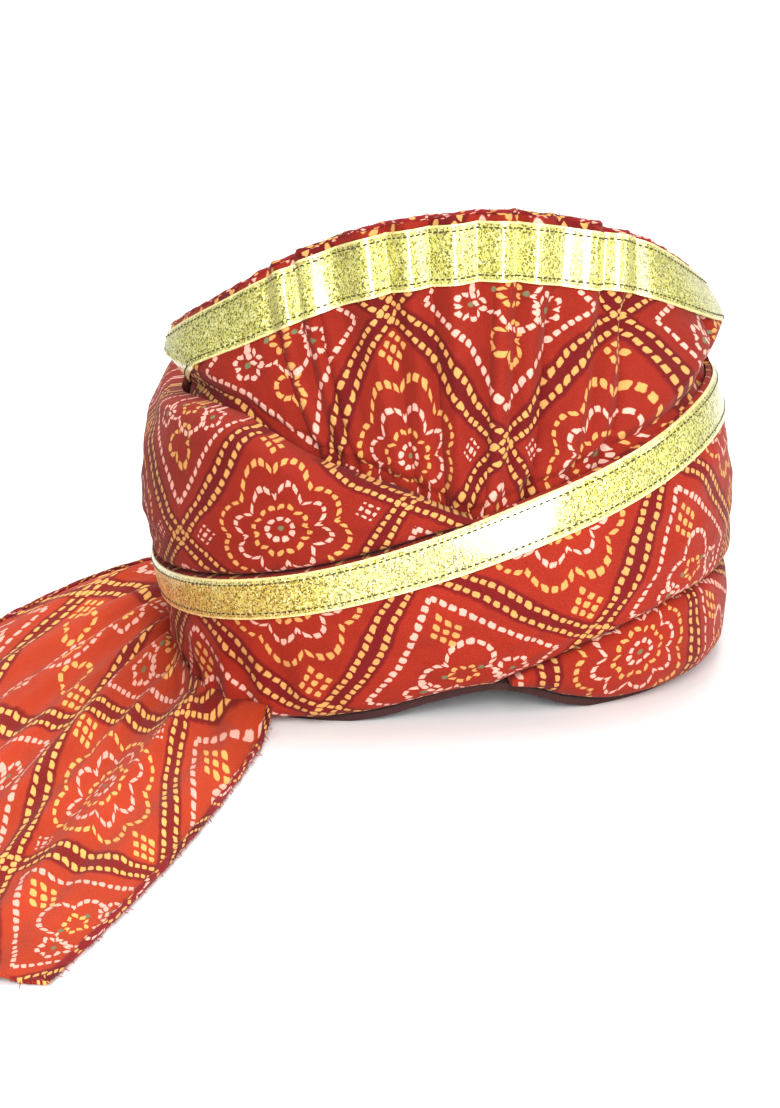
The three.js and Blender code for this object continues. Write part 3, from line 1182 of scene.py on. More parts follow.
@dataclass(frozen=True)
class PrintCloth:
    """Red cotton voile with the dot print.

    Attributes:
        name: the material's name.
        ground: the red ground.
        shade: the ground in the rows between dashes.
        slide: where the print starts, along and across the cloth.
        turned: how far the print is turned, in degrees.
        size: size of the print against the plain one, along and across.
        yellow, white, green: colours of the dashes.
        patches, dyed: how quickly the dye changes over the cloth, and how much.
        threads, roughness: brightness of low and high threads, which is painted shade and highlight on
            the relief, and their roughness.
        relief: strength and distance of the weave's relief.
    """

    name: str
    ground: Colour = linear(150, 37, 19)
    shade: Colour = linear(112, 17, 17)
    slide: Pair = (0.0, 0.0)
    turned: float = 0.0
    size: Pair = (1.0, 1.0)
    yellow: Colour = linear(208, 152, 86)
    white: Colour = linear(224, 170, 152)
    green: Colour = linear(112, 112, 78)
    patches: float = 28.0
    dyed: Pair = (0.72, 1.22)
    threads: Pair = (0.86, 1.12)
    roughness: Pair = (0.9, 0.72)
    relief: Pair = (0.6, 0.0005)

    def material(self, effects: Effects) -> Material:
        """Builds the material.

        Args:
            effects: the shared node groups.

        Returns:
            The material.
        """
        made = MaterialTree(self.name)
        cloth = made.add("UVMap", uv_map=CLOTH_MAP)
        placed = made.add("Mapping", in_Vector=cloth.outputs[0])
        placed.inputs["Location"].default_value = (self.slide[0] * MM, self.slide[1] * MM, 0)
        placed.inputs["Rotation"].default_value = (0, 0, math.radians(self.turned))
        placed.inputs["Scale"].default_value = (1 / self.size[0], 1 / self.size[1], 1)
        spot = placed.outputs[0]
        dots = made.add("Group", node_tree=effects.print, in_Place=spot).outputs
        tone = made.woven(effects.weave, spot, self.roughness, self.relief)
        mottle = made.add("TexNoise", in_Vector=spot, in_Scale=self.patches, in_Detail=3.0)
        uneven = made.ranged(mottle.outputs["Fac"], self.dyed)
        ground = made.blend(dots["Track"], self.ground, self.shade)
        colour = made.blend(1.0, ground, uneven, "MULTIPLY")
        for dye, tint in ((Dye.YELLOW, self.yellow), (Dye.WHITE, self.white), (Dye.GREEN, self.green)):
            colour = made.blend(dots[dye.value], colour, tint)
        # Painted shade on low threads and crinkle, painted highlight on high ones.
        colour = made.blend(1.0, colour, made.ranged(tone, self.threads), "MULTIPLY")
        made.feed(Base_Color=colour, Specular_IOR_Level=0.16)
        made.feed(Sheen_Weight=0.05, Sheen_Roughness=0.45)
        return made.material


@dataclass(frozen=True)
class GoldRibbon:
    """Gold glitter ribbon with plain pale edges.

    Attributes:
        name: the material's name.
        width: the ribbon's width, so that both edges are found.
        edge: width of the plain edge.
        gold, pale, olive: colours of the flakes.
        plain: colour of the edge.
        pale_from, olive_to: tones of the flakes that are pale or olive.
        tilt: how far a flake tips.
    """

    name: str
    width: float
    edge: float = 0.8
    gold: Colour = linear(212, 206, 92)
    pale: Colour = linear(246, 246, 168)
    olive: Colour = linear(120, 110, 32)
    plain: Colour = linear(240, 226, 150)
    pale_from: float = 0.72
    olive_to: float = 0.28
    tilt: float = 0.75

    def material(self, effects: Effects) -> Material:
        """Builds the material.

        Args:
            effects: the shared node groups.

        Returns:
            The material.
        """
        made = MaterialTree(self.name)
        cloth = made.add("UVMap", uv_map=CLOTH_MAP)
        spot = cloth.outputs[0]
        flakes = made.add(
            "Group", node_tree=effects.glitter, in_Place=spot, in_Tilt=self.tilt
        ).outputs
        parts = made.add("SeparateXYZ", in_Vector=spot)
        below = Field(made.tree, parts.outputs["Y"])
        half = self.width * MM / 2
        edge = abs(below - half).above(half - self.edge * MM, 0.2 * MM)
        tone = Field(made.tree, flakes["Tone"])
        colour = made.blend(tone.above(self.pale_from, 0.1).socket, self.gold, self.pale)
        colour = made.blend(tone.below(self.olive_to, 0.1).socket, colour, self.olive)
        colour = made.blend(edge.socket, colour, self.plain)
        metal = edge * -0.3 + 0.45
        rough = tone * 0.25 + 0.24
        made.feed(Base_Color=colour, Metallic=metal.socket, Roughness=rough.socket)
        made.feed(Normal=flakes["Normal"], Specular_IOR_Level=0.5)
        made.feed(Coat_Weight=1.0, Coat_Roughness=0.2, Coat_IOR=1.8)
        return made.material


@dataclass(frozen=True)
class PlainCloth:
    """Plain woven cloth or thread.

    Attributes:
        name: the material's name.
        colour: its colour.
        light: its colour where the weave stands high, a painted highlight on the raised threads.
        roughness: roughness of low and high threads.
        relief: strength and distance of the weave's relief.
    """

    name: str
    colour: Colour
    light: Colour
    roughness: Pair = (0.95, 0.75)
    relief: Pair = (0.4, 0.0004)

    def material(self, effects: Effects) -> Material:
        """Builds the material on object coordinates.

        Args:
            effects: the shared node groups.

        Returns:
            The material.
        """
        made = MaterialTree(self.name)
        spot = made.add("TexCoord").outputs["Object"]
        tone = made.woven(effects.weave, spot, self.roughness, self.relief)
        # Lighter on raised threads and darker on low ones: painted highlight and shade.
        colour = made.blend(tone, self.colour, self.light)
        made.feed(Base_Color=colour, Sheen_Weight=0.1, Specular_IOR_Level=0.3)
        return made.material


# Geometry Nodes for stitches and loose threads


class RepeatTree(TreeMaker):
    """A Geometry Nodes tree under construction that puts small pieces along a path.

    Its inputs are Pitch, Length, Thickness and Finish, and those that are added to it.
    """

    def __init__(self, name: str) -> None:
        """Starts a tree with its inputs and the points along the path.

        Args:
            name: the tree's name.
        """
        self.tree = bpy.data.node_groups.new(name, "GeometryNodeTree")
        for way in ("INPUT", "OUTPUT"):
            self.tree.interface.new_socket("Geometry", in_out=way, socket_type="NodeSocketGeometry")
        self.entry = self.tree.nodes.new("NodeGroupInput")
        self.exit = self.tree.nodes.new("NodeGroupOutput")
        pitch = self.takes("Pitch")
        self.length, self.thickness = self.takes("Length"), self.takes("Thickness")
        self.finish = self.takes("Finish", "Material")
        line = self.add("GeometryNodeMeshToCurve", in_Mesh=self.entry.outputs[0])
        self.spots = self.add(
            "GeometryNodeCurveToPoints", mode="LENGTH", in_Curve=line.outputs[0], in_Length=pitch
        )

    def end(self, piece: Socket, rotation: Socket, length: Socket) -> Tree:
        """Puts a piece on each point, as real meshes with their material.

        Args:
            piece: the piece's mesh, 1 long along z and 1 thick.
            rotation: how each piece is turned.
            length: how long each piece is.

        Returns:
            The finished tree.
        """
        size = self.add("CombineXYZ", in_X=self.thickness, in_Y=self.thickness, in_Z=length)
        placed = self.add(
            "GeometryNodeInstanceOnPoints",
            in_Points=self.spots.outputs["Points"],
            in_Instance=piece,
            in_Rotation=rotation,
            in_Scale=size.outputs[0],
        )
        real = self.add("GeometryNodeRealizeInstances", in_Geometry=placed.outputs[0])
        dressed = self.add(
            "GeometryNodeSetMaterial", in_Geometry=real.outputs[0], in_Material=self.finish
        )
        self.tree.links.new(dressed.outputs[0], self.exit.inputs[0])
        return self.tree


def stitch_tree() -> Tree:
    """A row of stitches along a path.

    Returns:
        The tree.
    """
    made = RepeatTree("stitch row")
    bead = made.add("GeometryNodeMeshUVSphere", in_Segments=6, in_Rings=5, in_Radius=0.5)
    return made.end(bead.outputs["Mesh"], made.spots.outputs["Rotation"], made.length)


def thread_tree() -> Tree:
    """Loose threads that stand out from a cut edge.

    Returns:
        The tree, with the further inputs Spread and Seed.
    """
    made = RepeatTree("loose threads")
    spread, seed = made.takes("Spread"), made.takes("Seed", "Int")
    bow = made.add("GeometryNodeCurveQuadraticBezier", in_Resolution=5)
    bow.inputs["Start"].default_value = (0, 0, 0)
    bow.inputs["Middle"].default_value = (0.16, 0.05, 0.5)
    bow.inputs["End"].default_value = (-0.05, 0.2, 1.0)
    ring = made.add("GeometryNodeCurvePrimitiveCircle", in_Resolution=5, in_Radius=0.5)
    tube = made.add(
        "GeometryNodeCurveToMesh",
        in_Curve=bow.outputs[0],
        in_Profile_Curve=ring.outputs[0],
        in_Fill_Caps=True,
    )
    out = made.add("GeometryNodeInputNamedAttribute", data_type="FLOAT_VECTOR", in_Name="out")
    along = made.add("FunctionNodeAlignRotationToVector", axis="Z", in_Vector=out.outputs[0])
    ends = []
    for sign in (-1, 1):
        end = made.add("VectorMath", operation="SCALE", in_Scale=spread)
        end.inputs[0].default_value = (sign, sign, 3 * sign)
        ends.append(end.outputs[0])
    tip = made.add(
        "FunctionNodeRandomValue",
        data_type="FLOAT_VECTOR",
        in_Min=ends[0],
        in_Max=ends[1],
        in_Seed=seed,
    )
    tipped = made.add("FunctionNodeEulerToRotation", in_Euler=tip.outputs[0])
    facing = made.add(
        "FunctionNodeRotateRotation",
        rotation_space="LOCAL",
        in_Rotation=along.outputs[0],
        in_Rotate_By=tipped.outputs[0],
    )
    share = made.add("FunctionNodeRandomValue", data_type="FLOAT", in_Seed=seed)
    share.inputs["Min"].default_value = 0.3
    reach = made.add("Math", operation="MULTIPLY")
    made.tree.links.new(next(s for s in share.outputs if s.enabled), reach.inputs[0])
    made.tree.links.new(made.length, reach.inputs[1])
    return made.end(tube.outputs[0], facing.outputs[0], reach.outputs[0])


def repeated(
    name: str,
    paths: list[Array],
    tree: Tree,
    out: list[Array] | None = None,
    **inputs: object,
) -> Object:
    """Runs a Geometry Nodes tree along paths and keeps the result as a plain mesh.

    Args:
        name: the object's name.
        paths: lines of points.
        tree: the tree.
        out: for each path, the direction that each point's pieces take.
        inputs: values of the tree's named inputs.

    Returns:
        The new object.
    """
    points = np.concatenate(paths)
    starts = np.cumsum([0] + [len(path) for path in paths[:-1]])
    edges = [
        (start + i, start + i + 1)
        for start, path in zip(starts, paths)
        for i in range(len(path) - 1)
    ]
    mesh = bpy.data.meshes.new(name + "_path")
    mesh.from_pydata((points * MM).tolist(), edges, [])
    if out is not None:
        kept = mesh.attributes.new("out", "FLOAT_VECTOR", "POINT")
        kept.data.foreach_set("vector", np.concatenate(out).astype(np.float32).ravel())
    carrier = linked(name + "_path", mesh)
    modifier = carrier.modifiers.new(name, "NODES")
    modifier.node_group = tree
    for item in tree.interface.items_tree:
        if item.in_out == "INPUT" and item.name in inputs:
            modifier[item.identifier] = inputs[item.name]
    depsgraph = bpy.context.evaluated_depsgraph_get()
    plain = bpy.data.meshes.new_from_object(carrier.evaluated_get(depsgraph))
    plain.name = name
    carrier.modifiers.remove(modifier)
    bpy.data.objects.remove(carrier)
    bpy.data.meshes.remove(mesh)
    plain.shade_smooth()
    return linked(name, plain)


# The pieces


@dataclass(frozen=True)
class RolledHem:
    """The uneven rolled edge of a cut cloth.

    Attributes:
        name: the object's name.
        radius: its mean radius.
        seed: fixes its unevenness.
        sides: number of its flat sides.
        uneven: how much its radius changes along it.
        twisted: how much its radius changes round it.
        core: radius of its hollow, as a share.
    """

    name: str
    radius: float
    seed: int
    sides: int = 12
    uneven: float = 0.35
    twisted: float = 0.12
    core: float = 0.3

    def build(self, path: Array, effects: Effects) -> Object:
        """Makes the hem along a path.

        Args:
            path: points along the cloth's edge.
            effects: the shared node groups.

        Returns:
            The hem's object.
        """
        ahead = np.gradient(path, axis=0)
        ahead /= np.linalg.norm(ahead, axis=1, keepdims=True)
        beside = np.cross(ahead, [0.0, 0.0, 1.0])
        beside /= np.linalg.norm(beside, axis=1, keepdims=True)
        over = np.cross(beside, ahead)
        run = run_length(path)
        angle = np.linspace(0, 2 * np.pi, self.sides + 1)[:, None]
        lumps = self.uneven * Creases(self.seed)(run / 5 + 0 * angle, 0 * run + 3)
        size = 1 + lumps + self.twisted * np.sin(2 * (angle + run / 7))
        round_way = np.cos(angle)[..., None] * beside + np.sin(angle)[..., None] * over
        outer = path + self.radius * size[..., None] * round_way
        inner = path + self.core * self.radius * round_way
        cloth = flat_places(run[None, :], angle * 2.5)
        made = Sheet(outer, inner, cloth, True).to_object(self.name)
        # The darker red is partly the rolled edge's own colour and partly painted shade in the roll.
        finish = PrintCloth(self.name + "_print", linear(128, 24, 28), linear(96, 18, 22))
        made.data.materials.append(finish.material(effects))
        return made


@dataclass(frozen=True)
class Fringe:
    """Loose threads along a cut edge.

    Attributes:
        name: the object's name.
        finish: the threads' finish.
        pitch: distance between two threads.
        length, thickness: size of the longest thread.
        spread: how far the threads tip, in radians.
        seed: fixes how they tip.
    """

    name: str
    finish: PlainCloth
    pitch: float
    length: float
    thickness: float
    spread: float
    seed: int

    def build(self, paths: list[Array], ways: list[Array], effects: Effects) -> Object:
        """Makes the threads.

        Args:
            paths: lines of points along the cloth's edges.
            ways: for each line, the way that the threads leave at each point.
            effects: the shared node groups.

        Returns:
            The threads' object.
        """
        return repeated(
            self.name,
            paths,
            effects.threads,
            [way / np.linalg.norm(way, axis=-1, keepdims=True) for way in ways],
            Pitch=self.pitch * MM,
            Length=self.length * MM,
            Thickness=self.thickness * MM,
            Spread=self.spread,
            Seed=self.seed,
            Finish=self.finish.material(effects),
        )


@dataclass
class ClothPiece:
    """One piece of the turban, which stands for one solid.

    Attributes:
        form: the turban's driving sizes.
        flat: width and length that the cloth was cut to, in metres.
        area: its flat area in square metres, where the cut isn't a rectangle.
    """

    form: TurbanForm
    flat: Pair = (0.1, 0.1)
    area: float | None = None

    node: ClassVar[str]
    finish: ClassVar[PrintCloth | PlainCloth | GoldRibbon]
    also: ClassVar[Names] = ()
    slot: ClassVar[Slot] = Slot.PRINT
    held: ClassVar[Held] = Held.FOLDED
    rests_on: ClassVar[Names] = ()

    def sheet(self) -> Sheet:
        """The piece's grids of points."""
        raise NotImplementedError

    def extras(self, effects: Effects) -> list[Object]:
        """Stitches, borders and threads on the piece."""
        return []

    def build(self, effects: Effects) -> Object:
        """Makes the piece, dresses it and puts it in the frame.

        Args:
            effects: the shared node groups.

        Returns:
            The piece's object.
        """
        made = self.sheet().to_object(self.node + "_cloth")
        made.data.materials.append(self.finish.material(effects))
        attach(made, "root")
        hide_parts(self.node, *self.also)
        extras = self.extras(effects)
        for extra in extras:
            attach(extra, "root")
        return made


def up_the_cloth(face: Array, level: Array) -> Array:
    """Heights along the cloth itself, the same as the given ones on the middle row.

    Args:
        face: points of the cloth's outer face, by column and row.
        level: each point's height over the line that the print follows.

    Returns:
        The heights, which also count the way round a rolled edge.
    """
    steps = np.linalg.norm(np.diff(face, axis=1), axis=-1)
    run = np.concatenate([0 * steps[:, :1], np.cumsum(steps, axis=1)], axis=1)
    middle = face.shape[1] // 2
    return level[:, middle, None] + run - run[:, middle, None]


def rolled_rows(height: Array, low_round: float, high_round: float, middle: int) -> tuple[Array, Array]:
    """Rows up a turn of cloth, close together round its rolled edges.

    Args:
        height: height of the turn at each column.
        low_round: radius of its lower edge.
        high_round: radius of its upper edge.
        middle: rows between the edges.

    Returns:
        The rows' heights above the lower edge, and how far each falls back, by column and row.
    """
    bend = np.radians(np.linspace(0, 90, 9))
    low = np.minimum(low_round, 0.45 * height)[:, None]
    high = np.minimum(high_round, 0.45 * height)[:, None]
    share = np.linspace(0, 1, middle + 2)[1:-1]
    lower = low * (1 - np.cos(bend))
    upper = height[:, None] - (high * (1 - np.cos(bend)))[:, ::-1]
    between = mix(low, height[:, None] - high, share)
    up = np.concatenate([lower, between, upper], axis=1)
    back = np.concatenate(
        [low * (1 - np.sin(bend)), 0 * between, (high * (1 - np.sin(bend)))[:, ::-1]], axis=1
    )
    return up, back


@dataclass
class WrapTurn(ClothPiece):
    """An outer turn of wound cloth between a lower and an upper line."""

    columns: int = 620
    middle_rows: int = 36
    high_round: float = 5.0

    is_ring: ClassVar[bool] = False
    span: ClassVar[Pair] = (-180.0, 180.0)

    def low(self, turn: Array) -> Array:
        """Height of its lower edge."""
        raise NotImplementedError

    def high(self, turn: Array) -> Array:
        """Height of its upper edge."""
        raise NotImplementedError

    def depth(self, turn: Array, z: Array) -> Array:
        """Thickness of the turn."""
        return self.form.turn_thickness

    def folds(self, turn: Array, z: Array, run: Array) -> Array:
        """How far folds and creases move the cloth out."""
        raise NotImplementedError

    def sheet(self) -> Sheet:
        """The turn's grids, with its print running along the band.

        Returns:
            The sheet.
        """
        form = self.form
        turns = np.linspace(*self.span, self.columns + 1)
        low, high = self.low(turns), self.high(turns)
        up, back = rolled_rows(high - low, form.edge_round, self.high_round, self.middle_rows)
        z = low[:, None] + up
        turn = turns[:, None]
        run = form.band_run(turns)[:, None]
        slope = form.band_slope(turn)
        radius = form.swollen(turn, z) - back
        radius = radius + self.folds(turn, z, run) * (1 - np.minimum(1, back / form.edge_round))
        outer = place(turn, radius, z)
        above = up_the_cloth(outer, z - form.band_line(turn))
        cloth = flat_places(run + above * np.sin(slope), above * np.cos(slope))
        inner = place(turn, form.body_radius(turn, z) - self.depth(turn, z), z)
        return Sheet(outer, inner, cloth, self.is_ring)


@dataclass
class LowerWrap(WrapTurn):
    """The lower turn, under the gold band."""

    high_round: float = 1.5
    flat: Pair = (0.084, 0.76)

    node: ClassVar[str] = "lower_wrap"
    finish: ClassVar[PrintCloth] = PrintCloth(
        "lower_wrap_print", slide=(9.1, 8.6), size=(1.02, 1.0)
    )
    is_ring: ClassVar[bool] = True
    rests_on: ClassVar[Names] = ("inner_wrap", "rim_lining")

    def low(self, turn: Array) -> Array:
        """Just above the hem, or above the crease over the roll."""
        edge = self.form.lower_hem(turn)
        return edge + np.where(edge > self.form.hem(turn), self.form.seam, 0)

    def high(self, turn: Array) -> Array:
        """Just under the band line."""
        return self.form.band_line(turn) - self.form.seam

    def depth(self, turn: Array, z: Array) -> Array:
        """Thickness of the turn, less where the fan is tucked in behind it."""
        return self.form.turn_thickness - self.form.tucked_in(turn, z)

    def folds(self, turn: Array, z: Array, run: Array) -> Array:
        """Long pulls along the turn, a fine crinkle, and folds that gather into the tail.

        Args:
            turn: turns of the places.
            z: their heights.
            run: lengths along the band; not used here.

        Returns:
            How far out the cloth is moved.
        """
        below = self.form.band_line(turn) - z
        share = way_round(turn)
        pulls = 1.2 * Creases(11, 12)(share * 12, below / 13)
        pulls = pulls + 0.7 * Creases(13, 9)(share * 9, below / 17 + share * 4).clip(-1, 0.4)
        pulls = pulls + 0.9 * Creases(14, 14).ridged(share * 14, below / 16)
        crinkle = 0.4 * Creases(12, 46)(share * 46, below / 9)
        toward = bell((turn + 36) / 20) * smooth(z, 46, 4)
        gather = 1.5 * np.cos(np.radians(turn * 50 + 3 * z)) * toward
        tucked = bell((turn - 16) / 9) * smooth(z, 56, 22)
        pinch = 0.9 * np.cos(np.radians((turn * 1.2 - z) * 40)) * tucked
        return (pulls + crinkle + gather + pinch) * smooth(below, 14, 24)


@dataclass
class UnderWrap(WrapTurn):
    """The roll that shows under the lower turn at the lower right."""

    columns: int = 300
    middle_rows: int = 22
    flat: Pair = (0.036, 0.32)

    node: ClassVar[str] = "under_wrap"
    finish: ClassVar[PrintCloth] = PrintCloth("under_wrap_print", slide=(45.5, 73), turned=-20)
    span: ClassVar[Pair] = (10.5, 172.0)
    rests_on: ClassVar[Names] = ("inner_wrap", "rim_lining")

    def low(self, turn: Array) -> Array:
        """Just above the hem."""
        return self.form.hem(turn) + self.form.seam

    def high(self, turn: Array) -> Array:
        """Just under the crease."""
        return self.form.lower_hem(turn) - self.form.seam

    def folds(self, turn: Array, z: Array, run: Array) -> Array:
        """Pulls along the roll and a fine crinkle."""
        pulls = 0.9 * Creases(21)(run / 55, z / 9) + 0.5 * Creases(23).ridged(run / 48, z / 13)
        return pulls + 0.35 * Creases(22)(run / 15, z / 7)


@dataclass
class LeftWrap(WrapTurn):
    """The upper turn, which is tucked into the V at the front."""

    columns: int = 560
    flat: Pair = (0.058, 0.56)

    node: ClassVar[str] = "left_wrap"
    # Its darker ground and rows are painted shade.
    finish: ClassVar[PrintCloth] = PrintCloth(
        "left_wrap_print", PAINTED_SHADE_RED, PAINTED_SHADE_ROWS, slide=(6, -16)
    )
    span: ClassVar[Pair] = (-290.0, 5.0)
    rests_on: ClassVar[Names] = ("inner_wrap", "lower_wrap")

    def low(self, turn: Array) -> Array:
        """Just above the band line."""
        return self.form.band_line(turn) + self.form.seam

    def high(self, turn: Array) -> Array:
        """The upper edge that runs down to the V."""
        return self.form.left_top(turn)

    def folds(self, turn: Array, z: Array, run: Array) -> Array:
        """Pulls that close up towards the V, a fine crinkle and the hollow under the crest.

        Args:
            turn: turns of the places.
            z: their heights.
            run: lengths along the band.

        Returns:
            How far out the cloth is moved.
        """
        low, high = self.low(turn), self.high(turn)
        share = (z - low) / (high - low)
        depth = smooth(high - low, 4, 40)
        pulls = 1.5 * Creases(31)(run / 62, share * 4.3) * depth
        pulls = pulls + 1.3 * Creases(33).ridged(run / 70, share * 3.2) * depth
        crinkle = 0.4 * Creases(32)(run / 16, z / 9) * depth
        hollow = -3.5 * bell((turn + 64) / 9) * bell((z - 104) / 7)
        return pulls + crinkle + hollow


@dataclass
class InnerWrap(ClothPiece):
    """The wound inner turns that the outer ones and the fan lie on."""

    flat: Pair = (0.14, 0.62)
    columns: int = 360
    clear: float = 1.5
    fan_room: float = 7.0
    room: Pair = (74.0, 102.0)
    top_round: float = 12.0
    fit: float = 0.4
    side_rows: int = 44
    top_rows: int = 16
    dome_angle: float = 40.0
    covers: float = 0.97
    wound_in: float = 1.2
    print_radius: float = 88.0

    node: ClassVar[str] = "inner_wrap"
    finish: ClassVar[PrintCloth] = PrintCloth("inner_wrap_print", slide=(20, 12))
    also: ClassVar[Names] = ("inner_wrap_top",)
    rests_on: ClassVar[Names] = ("crown",)

    def sheet(self) -> Sheet:
        """The turns' grids, with the wound folds on the outside.

        Returns:
            The sheet.
        """
        form, crown = self.form, Crown(self.form)
        turns = full_turn(self.columns)
        out = crown.wall + self.fit
        rows, side_rows = (
            crown.rise_rows(count, self.dome_angle)
            for count in (self.side_rows + self.top_rows, self.side_rows)
        )
        inside = crown.face(turns, out, rows)
        z = crown.face(turns, out, side_rows)[..., 2]
        turn = turns[:, None]
        beside = smooth(np.abs(turn), *self.room)
        radius = form.body_radius(turn, z) - form.turn_thickness - self.clear
        radius = radius - self.fan_room * (1 - beside)
        top = z[:, -1:]
        left = np.maximum(0, self.top_round - (top - z))
        radius = radius - (self.top_round - np.sqrt(self.top_round**2 - left**2))
        share = way_round(turn)
        radius = radius - self.wound_in + Creases(41, 9)(share * 9, z / 12)
        side = place(turn, radius, z)
        inward = np.linspace(0, self.covers, self.top_rows + 1)[1:]
        over = mix(side[:, -1:], inside[:, -1:], inward[:, None])
        over[..., 2] += Creases(42, 14)(share * 14, 2 * inward) * np.sin(np.pi * inward)
        outer = np.concatenate([side, over], axis=1)
        run = np.radians(turn) * self.print_radius
        cloth = flat_places(run, up_the_cloth(outer, outer[..., 2]))
        return Sheet(outer, inside, cloth, True)


@dataclass
class Crown(ClothPiece):
    """The cap of cloth over the head, gathered towards its middle."""

    flat: Pair = (0.31, 0.35)
    area: float | None = 0.085
    columns: int = 360
    wall: float = 2.5
    shoulder: float = 78.0
    apex: float = 138.0
    wall_rows: int = 24
    dome_rows: int = 60
    gather: float = 0.9

    node: ClassVar[str] = "crown"
    finish: ClassVar[PrintCloth] = PrintCloth("crown_print", slide=(10, 30))
    also: ClassVar[Names] = ("crown_band",)
    held: ClassVar[Held] = Held.GATHERED
    rests_on: ClassVar[Names] = ("rim_lining",)

    def rise_rows(self, count: int, top: float) -> Array:
        """Rows from the rim up: negative up the wall, and angles over the dome."""
        wall = np.linspace(-1, 0, self.wall_rows, endpoint=False)
        return np.concatenate([wall, np.linspace(0, top, count)])

    def face(self, turns: Array, out: float, rows: Array) -> Array:
        """One face of the cap.

        Args:
            turns: turns of its columns.
            out: how far outside the head it is.
            rows: its rows, from rise_rows.

        Returns:
            The points, by column and row.
        """
        turn = turns[:, None]
        radius = self.form.head.radius(turn) + out
        angle = np.radians(np.maximum(rows, 0))[None, :]
        on_wall = np.minimum(rows, 0)[None, :]
        hem = self.form.hem(turn)
        rise = self.apex - self.wall + out - self.shoulder
        z = self.shoulder + on_wall * (self.shoulder - hem) + rise * np.sin(angle)
        reach = np.where(rows[None, :] >= 90, 0, radius * np.cos(angle))
        return place(turn, reach, z)

    def sheet(self) -> Sheet:
        """The cap's grids, with soft folds that run to the middle.

        Returns:
            The sheet.
        """
        turns = full_turn(self.columns)
        rows = self.rise_rows(self.dome_rows, 90)
        outer, inner = self.face(turns, self.wall, rows), self.face(turns, 0, rows)
        share = way_round(turns[:, None])
        ring = np.cos(np.radians(np.maximum(rows, 0)))[None, :]
        deep = smooth(ring, 0.02, 0.3) * smooth(rows[None, :], 8, 30)
        fold = Creases(51, 26)(share * 26, 2.0 + 0 * ring)
        fold = fold + 0.5 * Creases(52, 60)(share * 60, ring * 6)
        outer[..., 2] += self.gather * fold * deep
        steps = np.linalg.norm(np.diff(outer, axis=1), axis=-1)
        from_middle = np.cumsum(steps[:, ::-1], axis=1)[:, ::-1]
        from_middle = np.concatenate([from_middle, 0 * from_middle[:, :1]], axis=1)
        flat = place(turns[:, None], from_middle, 0 * from_middle)
        cloth = flat_places(flat[..., 0], -flat[..., 1])
        return Sheet(outer, inner, cloth, True, True)


@dataclass
class RimLining(ClothPiece):
    """The facing under the rim, coloured dark as painted shade in the gap under the raised hem."""

    flat: Pair = (0.028, 0.66)
    columns: int = 360
    clear: float = 0.6
    arch_thickness: float = 2.8
    set_back: float = 3.0
    ripple: float = 0.2
    print_radius: float = 100.0

    node: ClassVar[str] = "rim_lining"
    # Its dark brown is painted shade of the gap under the raised hem.
    finish: ClassVar[PlainCloth] = PlainCloth("lining_painted_shade", linear(48, 24, 24), linear(68, 36, 34))
    slot: ClassVar[Slot] = Slot.LINING
    held: ClassVar[Held] = Held.STRETCHED

    def sheet(self) -> Sheet:
        """The facing's grids, a little rippled.

        Returns:
            The sheet.
        """
        form = self.form
        turns = full_turn(self.columns)
        turn = turns[:, None]
        top = form.hem(turn) - self.clear
        bottom = np.maximum(0, top - self.arch_thickness)
        outer = form.body_radius(turn, 0) - self.set_back + np.minimum(0, form.swell(turn, 0))
        across = np.linspace(0, 1, 9)[None, :]
        radius = mix(form.head.radius(turn), outer, across)
        ripple = self.ripple * Creases(61, 40)(way_round(turn) * 40, across * 2) * np.sin(np.pi * across)
        over, under = place(turn, radius, top + ripple - self.ripple), place(turn, radius, bottom)
        run = np.radians(turn) * self.print_radius
        cloth = flat_places(run, radius)
        return Sheet(over, under, cloth, True)


